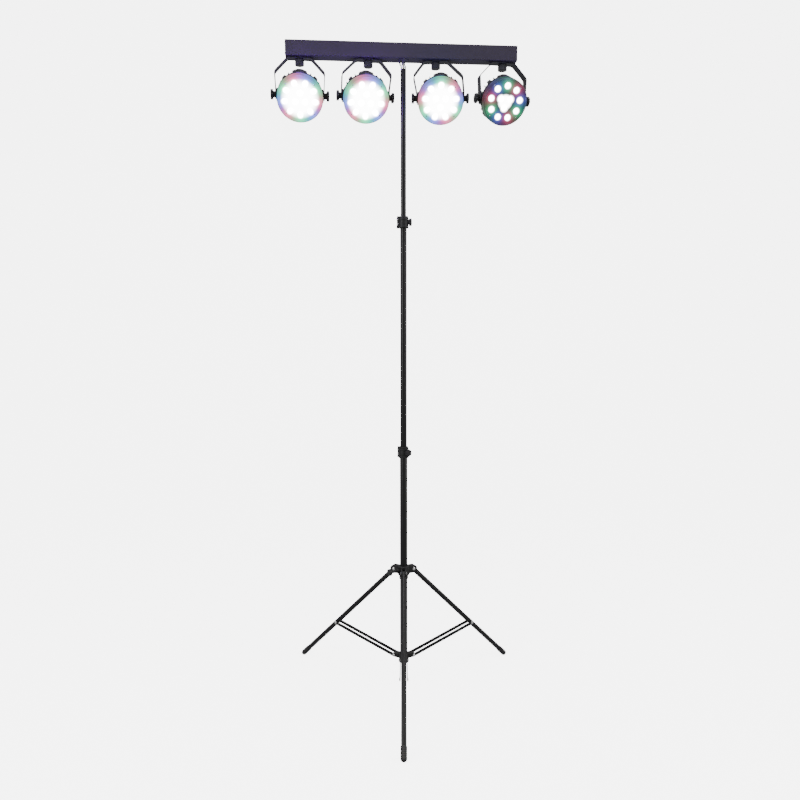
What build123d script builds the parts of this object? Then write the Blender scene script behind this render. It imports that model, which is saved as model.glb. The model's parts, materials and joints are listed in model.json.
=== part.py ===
from build123d import *
from math import atan2, cos, degrees, hypot, radians, sin
import os

# An LED stage-light bar: four slim par heads hang in strap yokes under a T-bar, which stands on
# a three-section telescopic mast with a folding tripod. Millimetres, +Z up. The origin is on the
# floor under the mast axis. The heads face -Y and +X runs along the bar.

# ---- driving dimensions -------------------------------------------------------------------
BAR_LENGTH = 782.0
BAR_OFFSET = -4.5                       # middle of the bar from the mast axis
BAR_DEPTH = 48.0
BAR_HEIGHT = 50.0
BAR_UNDERSIDE = 2230.0
BAR_WALL = 1.5
HANG_PITCH = 231.0

HEAD_YAW = [3.0, 5.0, -4.0, 8.0]        # turn of each yoke about its hang bolt, degrees
HEAD_TILT = [36.0, 36.0, 34.0, 28.0]    # nose-down angle of each head, degrees
HEAD_SHIFT = [0.0, -10.0, 16.0, 0.0]    # sideways set of each yoke's arms from its hang bolt
LED_PHASE = [180.0, 180.0, 0.0, 0.0]    # turn of each LED ring about the beam, degrees

MAST_TOP_OD = 19.0
MAST_MIDDLE_OD = 23.0
MAST_BOTTOM_OD = 27.0
TUBE_WALL = 1.2
BOTTOM_TUBE_END = 92.0
LOWER_CLAMP_Z = 878.0
UPPER_CLAMP_Z = 1690.0
TUBE_OVERLAP = 130.0

LEG_PHASE = 4.5                         # turn of the tripod about the mast, degrees
LEG_ANGLE = 45.0                        # leg from the vertical, degrees
LEG_LENGTH = 608.0                      # pivot to centre of the foot
LEG_OD = 18.0
FOOT_RADIUS = 10.5
LEG_PIVOT_RADIUS = 38.0
HUB_PIVOT_RADIUS = 36.0
HUB_PIVOT_Z = 110.0
BRACE_ON_LEG = 372.0                    # leg pivot to brace pivot

# ---- running clearances -------------------------------------------------------------------
FIT = 0.15                              # between pieces fixed to each other
RUN = 0.08                              # a pin or screw in its hole
SLIDE = 0.3                             # a bush in a tube, a tube in a collar
GAP = 0.3                               # between faces that move past each other
SCREW_CLEARANCE = 0.5                   # round a screw that passes through the strap

os.makedirs("parts", exist_ok=True)


def keep(piece, name):
    """Label a finished piece and write it as its own node."""
    piece.label = name
    export_step(piece, f"parts/{name}.step")


def upright(frame):
    """The plane through a frame's X and Z axes: sketches on it have the frame's Z as up."""
    return Plane(origin=frame.origin, x_dir=frame.x_dir, z_dir=-frame.y_dir)


def along(frame, x=0.0, y=0.0, z=0.0):
    """A parallel frame moved by local x, y and z."""
    move = frame.x_dir * x + frame.y_dir * y + frame.z_dir * z
    return Plane(origin=frame.origin + move, x_dir=frame.x_dir, z_dir=frame.z_dir)


def ring(outer, inner):
    """A round ring in the sketch that is open."""
    Circle(outer)
    Circle(inner, mode=Mode.SUBTRACT)


# ---- T-bar --------------------------------------------------------------------------------
BAR_MIDDLE = BAR_UNDERSIDE + BAR_HEIGHT / 2
BAR_BACK = BAR_DEPTH / 2
HANG_X = [BAR_OFFSET + (index - 1.5) * HANG_PITCH for index in range(4)]
HANG_SCREW_R = 4.0
HANG_BOSS_R = 8.0
HANG_BOSS_HEIGHT = 22.0
HANG_WASHER_R = 13.0
HANG_WASHER = 2.0
STUD_R = 6.0
SOCKET_R = 10.0
SOCKET_HEIGHT = 42.0
SOCKET_FLANGE_R = 18.0
LOCK_SCREW_Z = BAR_UNDERSIDE + 20.0
LOCK_SCREW_R = 3.0
PANEL_X = 222.0
PANEL_LENGTH = 172.0
PANEL_HEIGHT = 40.0
PANEL_LIP = 5.0
PANEL_THICK = 1.5
CAP_THICK = 2.0
CAP_FLANGE = 8.0
CAP_FLANGE_WALL = 1.5

with BuildPart() as bar_housing:
    with BuildSketch(Plane.YZ.offset(BAR_OFFSET - BAR_LENGTH / 2)):
        with Locations((0, BAR_MIDDLE)):
            RectangleRounded(BAR_DEPTH, BAR_HEIGHT, 2)
            RectangleRounded(BAR_DEPTH - 2 * BAR_WALL, BAR_HEIGHT - 2 * BAR_WALL, 0.5, mode=Mode.SUBTRACT)
    extrude(amount=BAR_LENGTH)
    # washers welded under the bar and threaded bosses inside it, for the hang knobs
    with BuildSketch(Plane.XY.offset(BAR_UNDERSIDE - HANG_WASHER)):
        with Locations([(x, 0) for x in HANG_X]):
            Circle(HANG_WASHER_R)
    extrude(amount=HANG_WASHER + BAR_WALL)
    with BuildSketch(Plane.XY.offset(BAR_UNDERSIDE)):
        with Locations([(x, 0) for x in HANG_X]):
            Circle(HANG_BOSS_R)
    extrude(amount=HANG_BOSS_HEIGHT)
    with BuildSketch(Plane.XY.offset(BAR_UNDERSIDE - HANG_WASHER)):
        with Locations([(x, 0) for x in HANG_X]):
            Circle(HANG_SCREW_R + RUN)
    extrude(amount=HANG_BOSS_HEIGHT + HANG_WASHER, mode=Mode.SUBTRACT)
    # holes for the mast socket, its locking screw and the rear panel
    with BuildSketch(Plane.XY.offset(BAR_UNDERSIDE)):
        Circle(SOCKET_R + FIT)
    extrude(amount=BAR_WALL, mode=Mode.SUBTRACT)
    with BuildSketch(Plane.XZ.offset(-BAR_BACK)):
        with Locations((0, LOCK_SCREW_Z)):
            Circle(LOCK_SCREW_R + 1)
        with Locations((PANEL_X, BAR_MIDDLE)):
            Rectangle(PANEL_LENGTH - 2 * PANEL_LIP, PANEL_HEIGHT - 2 * PANEL_LIP)
    extrude(amount=BAR_WALL, mode=Mode.SUBTRACT)
keep(bar_housing.part, "bar_housing")

with BuildPart() as bar_end_caps:
    for side in (-1, 1):
        outside = Plane(
            origin=(BAR_OFFSET + side * (BAR_LENGTH / 2 + FIT), 0, BAR_MIDDLE),
            x_dir=(0, side, 0),
            z_dir=(side, 0, 0),
        )
        with BuildSketch(outside):
            RectangleRounded(BAR_DEPTH, BAR_HEIGHT, 2)
        extrude(amount=CAP_THICK)
        with BuildSketch(outside):
            flange_depth = BAR_DEPTH - 2 * (BAR_WALL + FIT)
            flange_height = BAR_HEIGHT - 2 * (BAR_WALL + FIT)
            Rectangle(flange_depth, flange_height)
            Rectangle(
                flange_depth - 2 * CAP_FLANGE_WALL, flange_height - 2 * CAP_FLANGE_WALL, mode=Mode.SUBTRACT
            )
        extrude(amount=-CAP_FLANGE)
keep(bar_end_caps.part, "bar_end_caps")

# The socket is a steel sleeve welded through the bar's floor; an ear beside the stud braces it.
EAR = [(-17, 0), (-10.5, 0), (-8.5, -16), (-11.5, -16)]
with BuildPart() as mast_socket:
    with BuildSketch(Plane.XY.offset(BAR_UNDERSIDE)):
        ring(SOCKET_R, STUD_R + RUN)
    extrude(amount=SOCKET_HEIGHT)
    with BuildSketch(Plane.XY.offset(BAR_UNDERSIDE - FIT)):
        ring(SOCKET_FLANGE_R, STUD_R + RUN)
    extrude(amount=-PANEL_THICK)
    with BuildSketch(Plane.XY.offset(BAR_UNDERSIDE - FIT)):
        ring(SOCKET_R - 1, STUD_R + RUN)
    extrude(amount=2 * FIT)
    with BuildSketch(Plane.XZ.offset(-3)):
        with BuildLine():
            Polyline([(x, BAR_UNDERSIDE - FIT - PANEL_THICK / 2 + z) for x, z in EAR], close=True)
        make_face()
    extrude(amount=6)
    with BuildSketch(Plane.XZ.offset(-SOCKET_R)):
        with Locations((0, LOCK_SCREW_Z)):
            Circle(LOCK_SCREW_R + RUN)
    extrude(amount=SOCKET_R, mode=Mode.SUBTRACT)
keep(mast_socket.part, "mast_socket")

LOCK_KNOB_R = 11.0
LOCK_KNOB_LENGTH = 12.0
LOCK_KNOB_GRIPS = 6
with BuildPart() as mast_socket_knob:
    with BuildSketch(Plane.XZ.offset(-STUD_R - 1)):
        with Locations((0, LOCK_SCREW_Z)):
            Circle(LOCK_SCREW_R)
    extrude(amount=-(BAR_BACK - STUD_R + 1))
    with BuildSketch(Plane.XZ.offset(-BAR_BACK - 1)):
        with Locations((0, LOCK_SCREW_Z)):
            Circle(LOCK_KNOB_R)
            with PolarLocations(LOCK_KNOB_R + 2, LOCK_KNOB_GRIPS):
                Circle(4, mode=Mode.SUBTRACT)
    extrude(amount=-LOCK_KNOB_LENGTH)
    chamfer(mast_socket_knob.faces().sort_by(Axis.Y)[-1].edges(), 0.8)
keep(mast_socket_knob.part, "mast_socket_knob")

# ---- rear panel: sockets, display and buttons ---------------------------------------------
INLET_X = PANEL_X - 66.0
OUTLET_X = PANEL_X - 33.0
DATA_X = [PANEL_X - 4.0, PANEL_X + 24.0]
DISPLAY_X = PANEL_X + 60.0
DISPLAY_Z = BAR_MIDDLE + 7.0
POWER_SIZE = (27.0, 20.0)
DATA_R = 11.0
DISPLAY_SIZE = (28.0, 12.0)
BUTTON_X = [DISPLAY_X + step * 8.0 for step in (-1.5, -0.5, 0.5, 1.5)]
BUTTON_Z = BAR_MIDDLE - 8.0
BUTTON_R = 2.8
BUTTON_PROUD = 2.5
BUTTON_TRAVEL = 1.0
PANEL_OUTER = BAR_BACK + FIT + PANEL_THICK
BEZEL = 2.0

with BuildPart() as rear_panel:
    with BuildSketch(Plane.XZ.offset(-PANEL_OUTER)):
        with Locations((PANEL_X, BAR_MIDDLE)):
            RectangleRounded(PANEL_LENGTH, PANEL_HEIGHT, 3)
            with GridLocations(PANEL_LENGTH - 6, PANEL_HEIGHT - 6, 2, 2):
                Circle(1.2, mode=Mode.SUBTRACT)
        with Locations((INLET_X, BAR_MIDDLE), (OUTLET_X, BAR_MIDDLE)):
            Rectangle(POWER_SIZE[0] + 2 * FIT, POWER_SIZE[1] + 2 * FIT, mode=Mode.SUBTRACT)
        with Locations([(x, BAR_MIDDLE) for x in DATA_X]):
            Circle(DATA_R + FIT, mode=Mode.SUBTRACT)
        with Locations((DISPLAY_X, DISPLAY_Z)):
            Rectangle(DISPLAY_SIZE[0] + 2 * FIT, DISPLAY_SIZE[1] + 2 * FIT, mode=Mode.SUBTRACT)
        with Locations([(x, BUTTON_Z) for x in BUTTON_X]):
            Circle(BUTTON_R + GAP, mode=Mode.SUBTRACT)
    extrude(amount=PANEL_THICK)
keep(rear_panel.part, "rear_panel")

RECESS = 15.0
SOCKET_BODY = 22.0
BLADE = 8.0
CONTACTS = [(-7, -2), (0, 2), (7, -2)]   # three blades of a mains socket


with BuildPart() as panel_sockets:
    for x in (INLET_X, OUTLET_X):
        with BuildSketch(Plane.XZ.offset(-PANEL_OUTER)):
            with Locations((x, BAR_MIDDLE)):
                Rectangle(*POWER_SIZE)
        extrude(amount=SOCKET_BODY)
        with BuildSketch(Plane.XZ.offset(-PANEL_OUTER)):
            with Locations((x, BAR_MIDDLE)):
                Rectangle(POWER_SIZE[0] - 1, POWER_SIZE[1] - 1)
        extrude(amount=-FIT)
        with BuildSketch(Plane.XZ.offset(-PANEL_OUTER - FIT)):
            with Locations((x, BAR_MIDDLE)):
                RectangleRounded(POWER_SIZE[0] + 2 * BEZEL, POWER_SIZE[1] + 2 * BEZEL, 2)
        extrude(amount=-BEZEL)
    # mains inlet: a deep recess with three blades
    with BuildSketch(Plane.XZ.offset(-PANEL_OUTER - FIT - BEZEL)):
        with Locations((INLET_X, BAR_MIDDLE)):
            RectangleRounded(POWER_SIZE[0] - 3, POWER_SIZE[1] - 4, 2)
    extrude(amount=RECESS, mode=Mode.SUBTRACT)
    with BuildSketch(Plane.XZ.offset(-PANEL_OUTER - FIT - BEZEL + RECESS)):
        with Locations([(INLET_X + x, BAR_MIDDLE + z) for x, z in CONTACTS]):
            Rectangle(2, 4)
    extrude(amount=-BLADE)
    # mains outlet: a flat face with three slots
    with BuildSketch(Plane.XZ.offset(-PANEL_OUTER - FIT - BEZEL)):
        with Locations([(OUTLET_X + x, BAR_MIDDLE + z) for x, z in CONTACTS]):
            Rectangle(2.5, 5)
    extrude(amount=RECESS, mode=Mode.SUBTRACT)
    # data sockets: round shells with a recess and three pins
    for x in DATA_X:
        with BuildSketch(Plane.XZ.offset(-PANEL_OUTER - 1)):
            with Locations((x, BAR_MIDDLE)):
                Circle(DATA_R)
        extrude(amount=SOCKET_BODY)
        with BuildSketch(Plane.XZ.offset(-PANEL_OUTER - FIT)):
            with Locations((x, BAR_MIDDLE)):
                RectangleRounded(25, 28, 3)
        extrude(amount=-BEZEL)
        with BuildSketch(Plane.XZ.offset(-PANEL_OUTER - FIT - BEZEL)):
            with Locations((x, BAR_MIDDLE)):
                Circle(DATA_R - 2)
        extrude(amount=RECESS, mode=Mode.SUBTRACT)
        with BuildSketch(Plane.XZ.offset(-PANEL_OUTER - FIT - BEZEL + RECESS)):
            with Locations((x, BAR_MIDDLE)):
                with PolarLocations(4, 3, start_angle=90):
                    Circle(1.2)
        extrude(amount=-BLADE)
    # display window, with its bezel proud of the panel
    with BuildSketch(Plane.XZ.offset(-PANEL_OUTER - 0.6)):
        with Locations((DISPLAY_X, DISPLAY_Z)):
            Rectangle(*DISPLAY_SIZE)
    extrude(amount=8)
keep(panel_sockets.part, "panel_sockets")

for index, x in enumerate(BUTTON_X, start=1):
    with BuildPart() as button:
        with BuildSketch(Plane.XZ.offset(-PANEL_OUTER - BUTTON_PROUD)):
            with Locations((x, BUTTON_Z)):
                Circle(BUTTON_R)
        extrude(amount=BUTTON_PROUD + PANEL_THICK + 1)
        with BuildSketch(Plane.XZ.offset(-PANEL_OUTER + PANEL_THICK + 0.4)):
            with Locations((x, BUTTON_Z)):
                Circle(BUTTON_R + 0.7)
        extrude(amount=1)
        chamfer(button.faces().sort_by(Axis.Y)[-1].edges(), 0.4)
    keep(button.part, f"button_{index}")

SUPPLY_SIZE = (170.0, 36.0, 26.0)
BOARD_SIZE = (120.0, 30.0, 1.6)
CHIP_SIZE = (14.0, 10.0, 8.0)
with BuildPart() as power_supply:
    with BuildSketch(Plane.XY.offset(BAR_UNDERSIDE + BAR_WALL + FIT)):
        with Locations((-PANEL_X, 0)):
            Rectangle(SUPPLY_SIZE[0], SUPPLY_SIZE[1])
    extrude(amount=SUPPLY_SIZE[2])
    # the driver board, with its four output stages, stands on the can
    with BuildSketch(Plane.XY.offset(BAR_UNDERSIDE + BAR_WALL + FIT + SUPPLY_SIZE[2] + 2)):
        with Locations((-PANEL_X, 0)):
            Rectangle(BOARD_SIZE[0], BOARD_SIZE[1])
    extrude(amount=BOARD_SIZE[2])
    with BuildSketch(Plane.XY.offset(BAR_UNDERSIDE + BAR_WALL + FIT + SUPPLY_SIZE[2] + 2 + BOARD_SIZE[2])):
        with Locations((-PANEL_X, 0)):
            with GridLocations(28, 1, 4, 1):
                Rectangle(CHIP_SIZE[0], CHIP_SIZE[1])
    extrude(amount=CHIP_SIZE[2])
keep(power_supply.part, "power_supply")

# ---- par heads ----------------------------------------------------------------------------
PIVOT_DROP = 122.0                      # bar underside to tilt axis
BODY_R = 77.0
FACE_Z = 42.0                           # front rim ahead of the tilt axis
SPLIT_Z = 16.0                          # joint between front cover and rear housing
BACK_Z = -31.0
SHELL_WALL = 2.5
PLATE_Z = 34.0                          # back of the face plate
PLATE_THICK = 3.0
LENS_R = 10.0
LENS_TAIL = 5.0                         # barrel behind the face plate
LENS_CROWN = 1.5
LENS_RING_R = 52.0
LENS_INNER_R = 19.0
OUTER_LENSES = 9
INNER_LENSES = 3
BOARD_Z = 22.0
LUG_FACE = 79.0
LUG_HEIGHT = 38.0
PIVOT_SCREW_R = 3.0
STRAP_WIDTH = 30.0
STRAP_THICK = 3.0
STRAP_INNER = LUG_FACE + 0.5
YOKE_TOP = -HANG_WASHER - GAP
YOKE_FLAT = 80.0                        # level part of the strap, on the bolt
SHOULDER_Z = -50.0
SHOULDER_FLARE = 2.9
ARM_BEND_Z = -PIVOT_DROP + 18.0
KNOB_HUB_R = 10.0
KNOB_HEAD_R = 16.5
KNOB_HUB = 7.0
KNOB_HEAD = 9.0
HANG_KNOB_R = 15.5
HANG_KNOB_BOTTOM = -26.0
RIB_LENGTH = 36.0
RIB_WIDTH = 14.0
RIB_DEPTH = 12.0
RIDGE_SIDE = [(6, BODY_R + 2.5), (24, BODY_R - 4), (26, BODY_R - RIB_DEPTH)]
RIDGE = RIDGE_SIDE + [(-x, y) for x, y in reversed(RIDGE_SIDE)]
GLAND_R = 7.0
GLAND_LENGTH = 12.0
COVER_SCREW_RING_R = 66.5
COVER_SCREW_TURN = 45.0


def hang_frame(index):
    """The frame of one hang bolt: X along the tilt axis, Z up, origin on the bar's underside."""
    yaw = radians(HEAD_YAW[index])
    return Plane(origin=(HANG_X[index], 0, BAR_UNDERSIDE), x_dir=(cos(yaw), sin(yaw), 0), z_dir=(0, 0, 1))


def head_frame(index):
    """The frame of one head: origin on the tilt axis, X along it, Z along the beam."""
    yaw = radians(HEAD_YAW[index])
    tilt = radians(HEAD_TILT[index])
    beam = (sin(yaw) * cos(tilt), -cos(yaw) * cos(tilt), -sin(tilt))
    pivot = along(hang_frame(index), x=HEAD_SHIFT[index], z=-PIVOT_DROP)
    return Plane(origin=pivot.origin, x_dir=pivot.x_dir, z_dir=beam)


def lens_places(phase):
    """Centres of the twelve lenses in the head's own plane: a ring of nine round three."""
    outer = [(LENS_RING_R, 90 + phase + step * 360 / OUTER_LENSES) for step in range(OUTER_LENSES)]
    inner = [(LENS_INNER_R, 30 + phase + step * 360 / INNER_LENSES) for step in range(INNER_LENSES)]
    return [(radius * cos(radians(turn)), radius * sin(radians(turn))) for radius, turn in outer + inner]


def yoke(hang, shift):
    """Bent steel strap with rounded ends, one hole at the top and one at each end.

    The arms stand to one side of the bolt by the shift, and the shoulders by half of it.
    """
    arm = STRAP_INNER + STRAP_THICK
    shoulder = arm + SHOULDER_FLARE
    foot = -PIVOT_DROP - STRAP_WIDTH / 2
    outline = [
        (shift - arm, foot),
        (shift - arm, ARM_BEND_Z),
        (shift / 2 - shoulder, SHOULDER_Z),
        (-YOKE_FLAT / 2, YOKE_TOP),
        (YOKE_FLAT / 2, YOKE_TOP),
        (shift / 2 + shoulder, SHOULDER_Z),
        (shift + arm, ARM_BEND_Z),
        (shift + arm, foot),
    ]
    side = Plane(origin=hang.origin, x_dir=hang.y_dir, z_dir=hang.x_dir)
    with BuildPart() as strap:
        with BuildSketch(upright(hang)):
            with BuildLine() as middle:
                Polyline(outline)
                offset(amount=-STRAP_THICK, side=Side.RIGHT)
            make_face()
        extrude(amount=STRAP_WIDTH / 2, both=True)
        # round the ends of both arms
        with BuildSketch(side):
            with Locations((0, -PIVOT_DROP - STRAP_WIDTH / 4)):
                Rectangle(STRAP_WIDTH + 2, STRAP_WIDTH / 2)
            with Locations((0, -PIVOT_DROP)):
                Circle(STRAP_WIDTH / 2, mode=Mode.SUBTRACT)
        extrude(amount=2 * BODY_R, both=True, mode=Mode.SUBTRACT)
        with BuildSketch(side):
            with Locations((0, -PIVOT_DROP)):
                Circle(PIVOT_SCREW_R + SCREW_CLEARANCE)
        extrude(amount=2 * BODY_R, both=True, mode=Mode.SUBTRACT)
        with BuildSketch(hang):
            Circle(HANG_SCREW_R + SCREW_CLEARANCE)
        extrude(amount=-20, mode=Mode.SUBTRACT)
    return strap.part


def hang_knob(hang):
    """Round fluted knob under the yoke, moulded on the screw that hangs it from the bar."""
    top = YOKE_TOP - STRAP_THICK - GAP
    with BuildPart() as knob:
        with BuildSketch(along(hang, z=top)):
            Circle(HANG_SCREW_R)
        extrude(amount=HANG_BOSS_HEIGHT - 4 - top)
        with BuildSketch(along(hang, z=HANG_KNOB_BOTTOM)):
            Circle(HANG_KNOB_R)
            with PolarLocations(HANG_KNOB_R + 0.6, 12):
                Circle(1.6, mode=Mode.SUBTRACT)
        extrude(amount=top - HANG_KNOB_BOTTOM - 3)
        with BuildSketch(along(hang, z=top - 3)):
            Circle(HANG_KNOB_R - 4)
        extrude(amount=3)
    return knob.part


def side_knob(frame, side):
    """Knob with a hub and a fluted head, moulded on the screw that holds the head in its yoke."""
    out = Plane(origin=frame.origin, x_dir=frame.y_dir, z_dir=frame.x_dir * side)
    hub = STRAP_INNER + STRAP_THICK + GAP
    with BuildPart() as knob:
        with BuildSketch(out.offset(LUG_FACE - 12)):
            Circle(PIVOT_SCREW_R)
        extrude(amount=hub - LUG_FACE + 12)
        with BuildSketch(out.offset(hub)):
            Circle(KNOB_HUB_R)
        extrude(amount=KNOB_HUB)
        with BuildSketch(out.offset(hub + KNOB_HUB)):
            Circle(KNOB_HEAD_R)
            with PolarLocations(KNOB_HEAD_R + 3.5, 8):
                Circle(5, mode=Mode.SUBTRACT)
        extrude(amount=KNOB_HEAD)
        chamfer(knob.faces().sort_by(Axis(frame.origin, out.z_dir))[-1].edges(), 1)
    return knob.part


def front_cover(frame, phase):
    """Moulded front ring and face plate with twelve lens holes, and its four screws."""
    profile = upright(frame)
    with BuildPart() as cover:
        with BuildSketch(profile):
            with BuildLine():
                Polyline([
                    (0, PLATE_Z),
                    (BODY_R - SHELL_WALL, PLATE_Z),
                    (BODY_R - SHELL_WALL, SPLIT_Z + FIT),
                    (BODY_R, SPLIT_Z + FIT),
                    (BODY_R, FACE_Z - 2),
                    (BODY_R - 2, FACE_Z),
                    (BODY_R - 5, FACE_Z),
                    (BODY_R - 7, PLATE_Z + PLATE_THICK),
                    (0, PLATE_Z + PLATE_THICK),
                ], close=True)
            make_face()
        revolve(axis=Axis(frame.origin, frame.z_dir))
        with BuildSketch(frame.offset(PLATE_Z)):
            with Locations(lens_places(phase)):
                Circle(LENS_R + 0.5)
        extrude(amount=PLATE_THICK, mode=Mode.SUBTRACT)
        # screws in the rim's corner, each with a cross slot
        with BuildSketch(frame.offset(PLATE_Z + PLATE_THICK + FIT / 2)):
            with PolarLocations(COVER_SCREW_RING_R, 4, start_angle=COVER_SCREW_TURN):
                Circle(2.6)
        extrude(amount=1.8)
        with BuildSketch(frame.offset(PLATE_Z + PLATE_THICK + 1)):
            with PolarLocations(COVER_SCREW_RING_R, 4, start_angle=COVER_SCREW_TURN):
                Rectangle(3.6, 0.8)
                Rectangle(0.8, 3.6)
        extrude(amount=2, mode=Mode.SUBTRACT)
    return cover.part


def rear_housing(frame):
    """Tapered rear shell with side lugs for the yoke, ribs on its crown and a cable gland."""
    profile = upright(frame)
    rear_r = 56.0
    with BuildPart() as shell:
        with BuildSketch(profile):
            with BuildLine():
                Polyline([
                    (0, BACK_Z),
                    (rear_r, BACK_Z),
                    (BODY_R - 8, BACK_Z + 16),
                    (BODY_R, SPLIT_Z - 14),
                    (BODY_R, SPLIT_Z),
                    (BODY_R - SHELL_WALL, SPLIT_Z),
                    (BODY_R - SHELL_WALL, SPLIT_Z - 13),
                    (BODY_R - 8 - SHELL_WALL, BACK_Z + 18),
                    (rear_r - 2, BACK_Z + SHELL_WALL),
                    (0, BACK_Z + SHELL_WALL),
                ], close=True)
            make_face()
        revolve(axis=Axis(frame.origin, frame.z_dir))
        # lugs that take the tilt screws
        for side in (-1, 1):
            out = Plane(origin=frame.origin, x_dir=frame.y_dir, z_dir=frame.x_dir * side)
            with BuildSketch(out.offset(LUG_FACE - 20)):
                RectangleRounded(LUG_HEIGHT, 26, 5)
            extrude(amount=20)
            with BuildSketch(out.offset(LUG_FACE - 16)):
                Circle(PIVOT_SCREW_R + RUN)
            extrude(amount=16, mode=Mode.SUBTRACT)
        # clearance for the front cover above the lugs' flat tops
        with BuildSketch(frame.offset(SPLIT_Z)):
            Circle(BODY_R + 12)
        extrude(amount=10, mode=Mode.SUBTRACT)
        # a low ridge on the crown, and ribs that fill out the taper at 45 degrees each side
        with BuildSketch(frame.offset(SPLIT_Z)):
            with BuildLine():
                Polyline(RIDGE, close=True)
            make_face()
        extrude(amount=-RIB_LENGTH)
        for angle in (45, 135, 225, 315):
            turn = radians(angle)
            radial = frame.x_dir * cos(turn) + frame.y_dir * sin(turn)
            middle = frame.origin + radial * (BODY_R - RIB_DEPTH) + frame.z_dir * (SPLIT_Z - RIB_LENGTH / 2)
            with BuildSketch(Plane(origin=middle, x_dir=frame.z_dir, z_dir=radial)):
                RectangleRounded(RIB_LENGTH, RIB_WIDTH, 3)
            extrude(amount=RIB_DEPTH)
        with BuildSketch(frame.offset(SPLIT_Z - 0.01)):
            Circle(BODY_R - SHELL_WALL)
        extrude(amount=-(SPLIT_Z - BACK_Z - 14), mode=Mode.SUBTRACT, taper=4)
        # cooling slots in the back
        with BuildSketch(frame.offset(BACK_Z)):
            with GridLocations(0.001, 9, 1, 5):
                SlotOverall(60, 3.5)
        extrude(amount=SHELL_WALL, mode=Mode.SUBTRACT)
        # cable gland under the slots
        with BuildSketch(frame.offset(BACK_Z + SHELL_WALL)):
            with Locations((0, -34)):
                Circle(GLAND_R)
        extrude(amount=-(GLAND_LENGTH + SHELL_WALL))
        with BuildSketch(frame.offset(BACK_Z - GLAND_LENGTH)):
            with Locations((0, -34)):
                Circle(3)
        extrude(amount=GLAND_LENGTH + SHELL_WALL, mode=Mode.SUBTRACT)
    return shell.part


def lenses(frame, phase):
    """Twelve clear collimator lenses, each a short barrel with a domed front."""
    with BuildPart() as optics:
        with BuildSketch(frame.offset(PLATE_Z - LENS_TAIL)):
            with Locations(lens_places(phase)):
                Circle(LENS_R)
        extrude(amount=LENS_TAIL + PLATE_THICK - LENS_CROWN)
        with BuildSketch(frame.offset(PLATE_Z + PLATE_THICK - LENS_CROWN)):
            with Locations(lens_places(phase)):
                Circle(LENS_R - LENS_CROWN)
        extrude(amount=LENS_CROWN)
    return optics.part


def led_board(frame, phase):
    """Round circuit board on a heat-sink plate, with twelve emitters."""
    with BuildPart() as board:
        with BuildSketch(frame.offset(BOARD_Z - 3)):
            Circle(BODY_R - 8)
        extrude(amount=3 + 1.6)
        with BuildSketch(frame.offset(BOARD_Z + 1.6)):
            with Locations(lens_places(phase)):
                Rectangle(5, 5)
        extrude(amount=2.5)
    return board.part


for index in range(4):
    number = index + 1
    hang = hang_frame(index)
    head = head_frame(index)
    keep(yoke(hang, HEAD_SHIFT[index]), f"yoke_{number}")
    keep(hang_knob(hang), f"hang_knob_{number}")
    keep(side_knob(head, -1), f"side_knob_left_{number}")
    keep(side_knob(head, 1), f"side_knob_right_{number}")
    keep(rear_housing(head), f"rear_housing_{number}")
    keep(front_cover(head, LED_PHASE[index]), f"front_cover_{number}")
    keep(lenses(head, LED_PHASE[index]), f"lenses_{number}")
    keep(led_board(head, LED_PHASE[index]), f"led_board_{number}")

# ---- mast ---------------------------------------------------------------------------------
COLLAR_R = 9.5
COLLAR_HEIGHT = 12.0
STUD_SHOWN = 17.0
STUD_IN_BAR = 36.0
COLLAR_TOP = BAR_UNDERSIDE - STUD_SHOWN
COLLAR_BASE = COLLAR_TOP - COLLAR_HEIGHT
PLUG_LENGTH = 50.0
CLAMP_R = 18.0
CLAMP_HEIGHT = 40.0
CLAMP_JAW = 24.0
BOTTOM_TUBE_TOP = LOWER_CLAMP_Z + CLAMP_HEIGHT / 2 - 6
MIDDLE_TUBE_TOP = UPPER_CLAMP_Z + CLAMP_HEIGHT / 2 - 6
BUSH_LENGTH = 30.0

with BuildPart() as mast_spigot:
    with BuildSketch(Plane.XY.offset(COLLAR_BASE - PLUG_LENGTH)):
        Circle(MAST_TOP_OD / 2 - TUBE_WALL - FIT)
    extrude(amount=PLUG_LENGTH - FIT)
    with BuildSketch(Plane.XY.offset(COLLAR_BASE)):
        Circle(COLLAR_R)
    extrude(amount=COLLAR_HEIGHT)
    chamfer(mast_spigot.edges().group_by(Axis.Z)[-1], 1.5)
    with BuildSketch(Plane.XY.offset(COLLAR_BASE - FIT)):
        Circle(STUD_R)
    extrude(amount=COLLAR_HEIGHT + STUD_SHOWN + STUD_IN_BAR + FIT)
    chamfer(mast_spigot.edges().group_by(Axis.Z)[-1], 1)
keep(mast_spigot.part, "mast_spigot")


def mast_tube(low, high, outer_d, bush_bore_d=None):
    """A steel tube, with a plastic guide bush round its lower end if it slides in another."""
    with BuildPart() as tube:
        with BuildSketch(Plane.XY.offset(low)):
            ring(outer_d / 2, outer_d / 2 - TUBE_WALL)
        extrude(amount=high - low)
        if bush_bore_d:
            with BuildSketch(Plane.XY.offset(low)):
                ring(bush_bore_d / 2 - SLIDE, outer_d / 2 - 0.05)
            extrude(amount=BUSH_LENGTH)
    return tube.part


MIDDLE_BORE = MAST_MIDDLE_OD - 2 * TUBE_WALL
BOTTOM_BORE = MAST_BOTTOM_OD - 2 * TUBE_WALL
keep(mast_tube(UPPER_CLAMP_Z - TUBE_OVERLAP, COLLAR_BASE - FIT, MAST_TOP_OD, MIDDLE_BORE), "mast_tube_top")
keep(
    mast_tube(LOWER_CLAMP_Z - TUBE_OVERLAP, MIDDLE_TUBE_TOP, MAST_MIDDLE_OD, BOTTOM_BORE),
    "mast_tube_middle",
)
keep(mast_tube(BOTTOM_TUBE_END, BOTTOM_TUBE_TOP, MAST_BOTTOM_OD), "mast_tube_bottom")

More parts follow.
